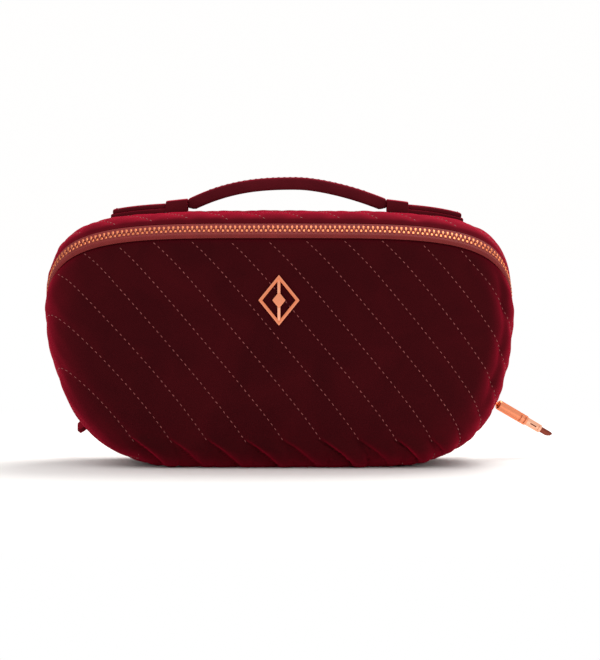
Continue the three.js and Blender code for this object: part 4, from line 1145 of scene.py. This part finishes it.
def strap(name, start, stop, lift, thickness, width, crown=0.0004, level=top_level, cuts=23):
    """A flat strap between two places along X, laid over the top with a slightly crowned face."""
    piece = block(name, (stop - start, width, thickness), ((start + stop) / 2, 0, thickness / 2))
    cut_along(piece, 0, cuts)
    cut_along(piece, 1, 5)
    points = points_of(piece)
    upper = points[:, 2] > thickness / 2
    points[:, 2] += np.where(upper, crown * (1 - (2 * points[:, 1] / width) ** 2), 0) + level(points[:, 0]) + lift
    points[:, 1] += HANDLE_Y
    points[:, 1] += 0.00025 * wave(points, 0.021, 3.0)
    move_points(piece, points)
    return piece


def row_along(start, stop, y, height, pitch=0.0029):
    """Stitches along X at one height over the bag's top."""
    count = int(abs(stop - start) / pitch)
    xs = start + (np.arange(count) + 0.5) * (stop - start) / count
    rises = height(xs + 0.0005) - height(xs)
    ways = unit(np.stack([np.full(count, 0.0005), np.zeros(count), rises], axis=1))
    return [frame_matrix((x, y, z), (0, 1, 0), (-way[2], 0, way[0]), way)
            for x, z, way in zip(xs, height(xs), ways)]


def end_face(x):
    return top_level(x) + END_LIFT + STRAP_LAYER + 0.00015


BEDDED = 0.0003                # how far the patch sinks into the velvet
for side, word in ((-1, "left"), (1, "right")):
    inner, outer = HANDLE_X + side * PATCH_INNER, HANDLE_X + side * PATCH_OUTER
    patch = strap(f"handle_{word}_patch", min(inner, outer), max(inner, outer), STRAP_GAP - BEDDED,
                  STRAP_LAYER + BEDDED, STRAP_WIDTH + 0.0012)
    soften(patch, 0.0005, 3, 50)
    settle(patch, "lid", [f"handle_patch_{word}"], strap_velvet)

    outer -= side * END_SHORTER
    end = strap(f"handle_{word}_end", min(inner, outer), max(inner, outer), END_LIFT - 0.0002,
                STRAP_LAYER + 0.0002, STRAP_WIDTH)
    soften(end, 0.0007, 3, 50)
    settle(end, "lid", [f"handle_end_{word}"], strap_velvet)
    sewing = []
    for edge in (-1, 1):
        sewing += row_along(inner + side * KEEPER_WIDTH, outer - side * 0.0016,
                            HANDLE_Y + edge * (STRAP_WIDTH / 2 - 0.0019), end_face)
    tip_x = outer - side * 0.0018
    tip_z = float(end_face(np.array([tip_x]))[0]) + 0.0003
    for step in range(4):
        at = (tip_x, HANDLE_Y + (step - 1.5) * 0.0029, tip_z)
        sewing.append(frame_matrix(at, (1, 0, 0), (0, 0, -1), (0, 1, 0)))
    settle(laid_copies(tab_stitch, sewing, f"handle_{word}_thread"), "lid", material=dark_thread)

    middle_x = HANDLE_X + side * (PATCH_INNER + KEEPER_WIDTH / 2)
    height = END_LIFT + STRAP_LAYER + STRAP_GAP + KEEPER_THICKNESS
    keeper = strap(f"handle_{word}_keeper", middle_x - KEEPER_WIDTH / 2, middle_x + KEEPER_WIDTH / 2, 0.0001,
                   height, STRAP_WIDTH + 2 * (STRAP_GAP + KEEPER_THICKNESS), 0.0005, cuts=7)
    delete_faces(keeper, lambda middle, normal: abs(normal.x) > 0.8 or normal.z < -0.5)
    modify(keeper, "SOLIDIFY", thickness=KEEPER_THICKNESS, offset=-1)
    soften(keeper, 0.00045, 3, 50)
    points = points_of(keeper)
    points[:, 2] -= KEEPER_TILT * side * (points[:, 0] - middle_x)
    move_points(keeper, points)
    settle(keeper, "lid", [f"keeper_{word}"], strap_velvet)

# ---------------------------------------------------------------- handle arch
# Two layers of strap, wrapped in velvet and sewn along both edges. The arch rises from keeper to keeper, and near
# each keeper it narrows and thins, as a strap does that is held there. It is in two halves that meet at its crest.

ARCH_HALF, ARCH_THICKNESS, ARCH_END_THICKNESS = 0.0512, 0.0062, 0.0047
ARCH_TOP, ARCH_BEND, ARCH_HELD = 0.1478, 0.012, 0.010
arch_foot = float(top_level(np.array([HANDLE_X + PATCH_INNER]))[0]) + END_LIFT + 2 * STRAP_LAYER + STRAP_GAP


def arch_top(x):
    """The upper face of the arch, which is fuller on the left."""
    share = np.clip((x - HANDLE_X) / ARCH_HALF, -1, 1)
    share = share - 0.05 * (1 - share ** 2)
    power = 2.1 - 0.4 * np.tanh(share * 4)
    return arch_foot + (ARCH_TOP - arch_foot) * (1 - np.abs(share) ** power)


def arch_thickness(x):
    """Down to the under face, which touches the bag beside the keepers."""
    slope = (arch_top(x + 0.0005) - arch_top(x - 0.0005)) / 0.001
    upright = np.minimum(ARCH_THICKNESS * np.hypot(1, slope), arch_top(x) - top_level(x) + 0.0012)
    return ARCH_END_THICKNESS + (upright - ARCH_END_THICKNESS) * smooth((ARCH_HALF - np.abs(x - HANDLE_X)) / 0.004)


arch = block("handle_arch", (ARCH_HALF * 2, STRAP_WIDTH, 1), (HANDLE_X, 0, -0.5))
for axis, cuts in enumerate((79, 7, 3)):
    cut_along(arch, axis, cuts)
points = points_of(arch)
x, depth = points[:, 0], -points[:, 2]
held = smooth((np.abs(x - HANDLE_X) - (ARCH_HALF - ARCH_HELD)) / ARCH_HELD)
bulge = 1 + 0.03 * np.sin(np.pi * depth)
crown = 0.0003 * (1 - (2 * points[:, 1] / STRAP_WIDTH) ** 2) * (1 - depth)
points[:, 2] = arch_top(x) - depth * arch_thickness(x) + crown
points[:, 1] = HANDLE_Y + points[:, 1] * (1 - 0.16 * held) * bulge + 0.00025 * wave(points, 0.021, 3.0)
move_points(arch, points)
soften(arch, 0.0010, 3, 60)
for side, word in ((-1, "left"), (1, "right")):
    half = copy_of(arch, f"handle_arch_{word}")
    choose(half, edit=True)
    bpy.ops.mesh.bisect(plane_co=(HANDLE_X, 0, 0), plane_no=(side, 0, 0), clear_inner=True, use_fill=True)
    bpy.ops.object.mode_set(mode="OBJECT")
    shade_soft(half, 40)
    settle(half, None, ["handle_strap", "handle_under_strap"], strap_velvet)
    end = HANDLE_X + side * ARCH_HALF
    sewing = []
    for edge in (-1, 1):
        sewing += row_along(HANDLE_X, end - side * ARCH_HELD, HANDLE_Y + edge * (STRAP_WIDTH / 2 - 0.0022),
                            lambda x: arch_top(x) + 0.0002)
    sewn = laid_copies(tab_stitch, sewing, f"handle_arch_{word}_thread")
    settle(sewn, None, material=dark_thread)
    for piece in (half, sewn):
        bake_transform(piece)
forget(arch)
forget(tab_stitch)

# ---------------------------------------------------------------- floor, light and camera
# A wide pale floor, which fades to plain white away from the bag, under soft white light from all round. A large
# lamp hangs high behind it on the right, and the camera looks at its front from a little above.

FADE_FROM, FADE_TO = 0.16, 0.42
WHITE, BLACK = (1, 1, 1, 1), (0, 0, 0, 1)
bpy.ops.object.select_all(action="DESELECT")
bpy.ops.mesh.primitive_plane_add(size=12)
floor = named(bpy.context.object, "floor")
paper, tree, shader = new_material("pale_floor", Roughness=0.9, Specular_IOR_Level=0.0, Emission_Strength=1.0)
place = add_node(tree, "TexCoord").outputs["Object"]
tone = mixed(tree, noise(tree, place, 3), (0.93, 0.915, 0.90, 1), (0.95, 0.935, 0.92, 1))
reach = add_node(tree, "VectorMath", {0: place}, operation="LENGTH").outputs["Value"]
far = rescale(tree, reach, FADE_FROM, FADE_TO, interpolation_type="SMOOTHSTEP")
for socket, near_end, far_end in (("Base Color", tone, BLACK), ("Emission Color", BLACK, WHITE)):
    tree.links.new(mixed(tree, far, near_end, far_end), shader.inputs[socket])
put_material(floor, paper)

world = bpy.data.worlds.new("studio")
bpy.context.scene.world = world
world.use_nodes = True
background = world.node_tree.nodes["Background"]
background.inputs["Color"].default_value = (1.0, 0.995, 0.99, 1)
background.inputs["Strength"].default_value = 1.0

lamp_place = Vector((0.42, 0.48, 1.15))
light = bpy.data.lights.new("key", "AREA")
light.shape, light.size, light.size_y, light.energy, light.color = "RECTANGLE", 0.8, 0.8, 11.5, (1, 0.985, 0.96)
lamp = bpy.data.objects.new("key", light)
bpy.context.scene.collection.objects.link(lamp)
lamp.location = lamp_place
lamp.rotation_euler = (Vector((0, 0, 0.07)) - lamp_place).to_track_quat("-Z", "Y").to_euler()

AIM = Vector((0.0106, 0, 0.0690))
CAMERA_AWAY, CAMERA_ELEVATION = 1.5, math.radians(2.4)
VIEW_HEIGHT = 0.342
camera_data = bpy.data.cameras.new("camera")
camera = bpy.data.objects.new("camera", camera_data)
bpy.context.scene.collection.objects.link(camera)
back = Vector((0, -math.cos(CAMERA_ELEVATION), math.sin(CAMERA_ELEVATION)))
camera.location = AIM + back * CAMERA_AWAY
camera.rotation_euler = (-back).to_track_quat("-Z", "Y").to_euler()
camera_data.sensor_width = 36
camera_data.lens = camera_data.sensor_width * CAMERA_AWAY / VIEW_HEIGHT
bpy.context.scene.camera = camera
bpy.context.scene.view_settings.view_transform = "Standard"
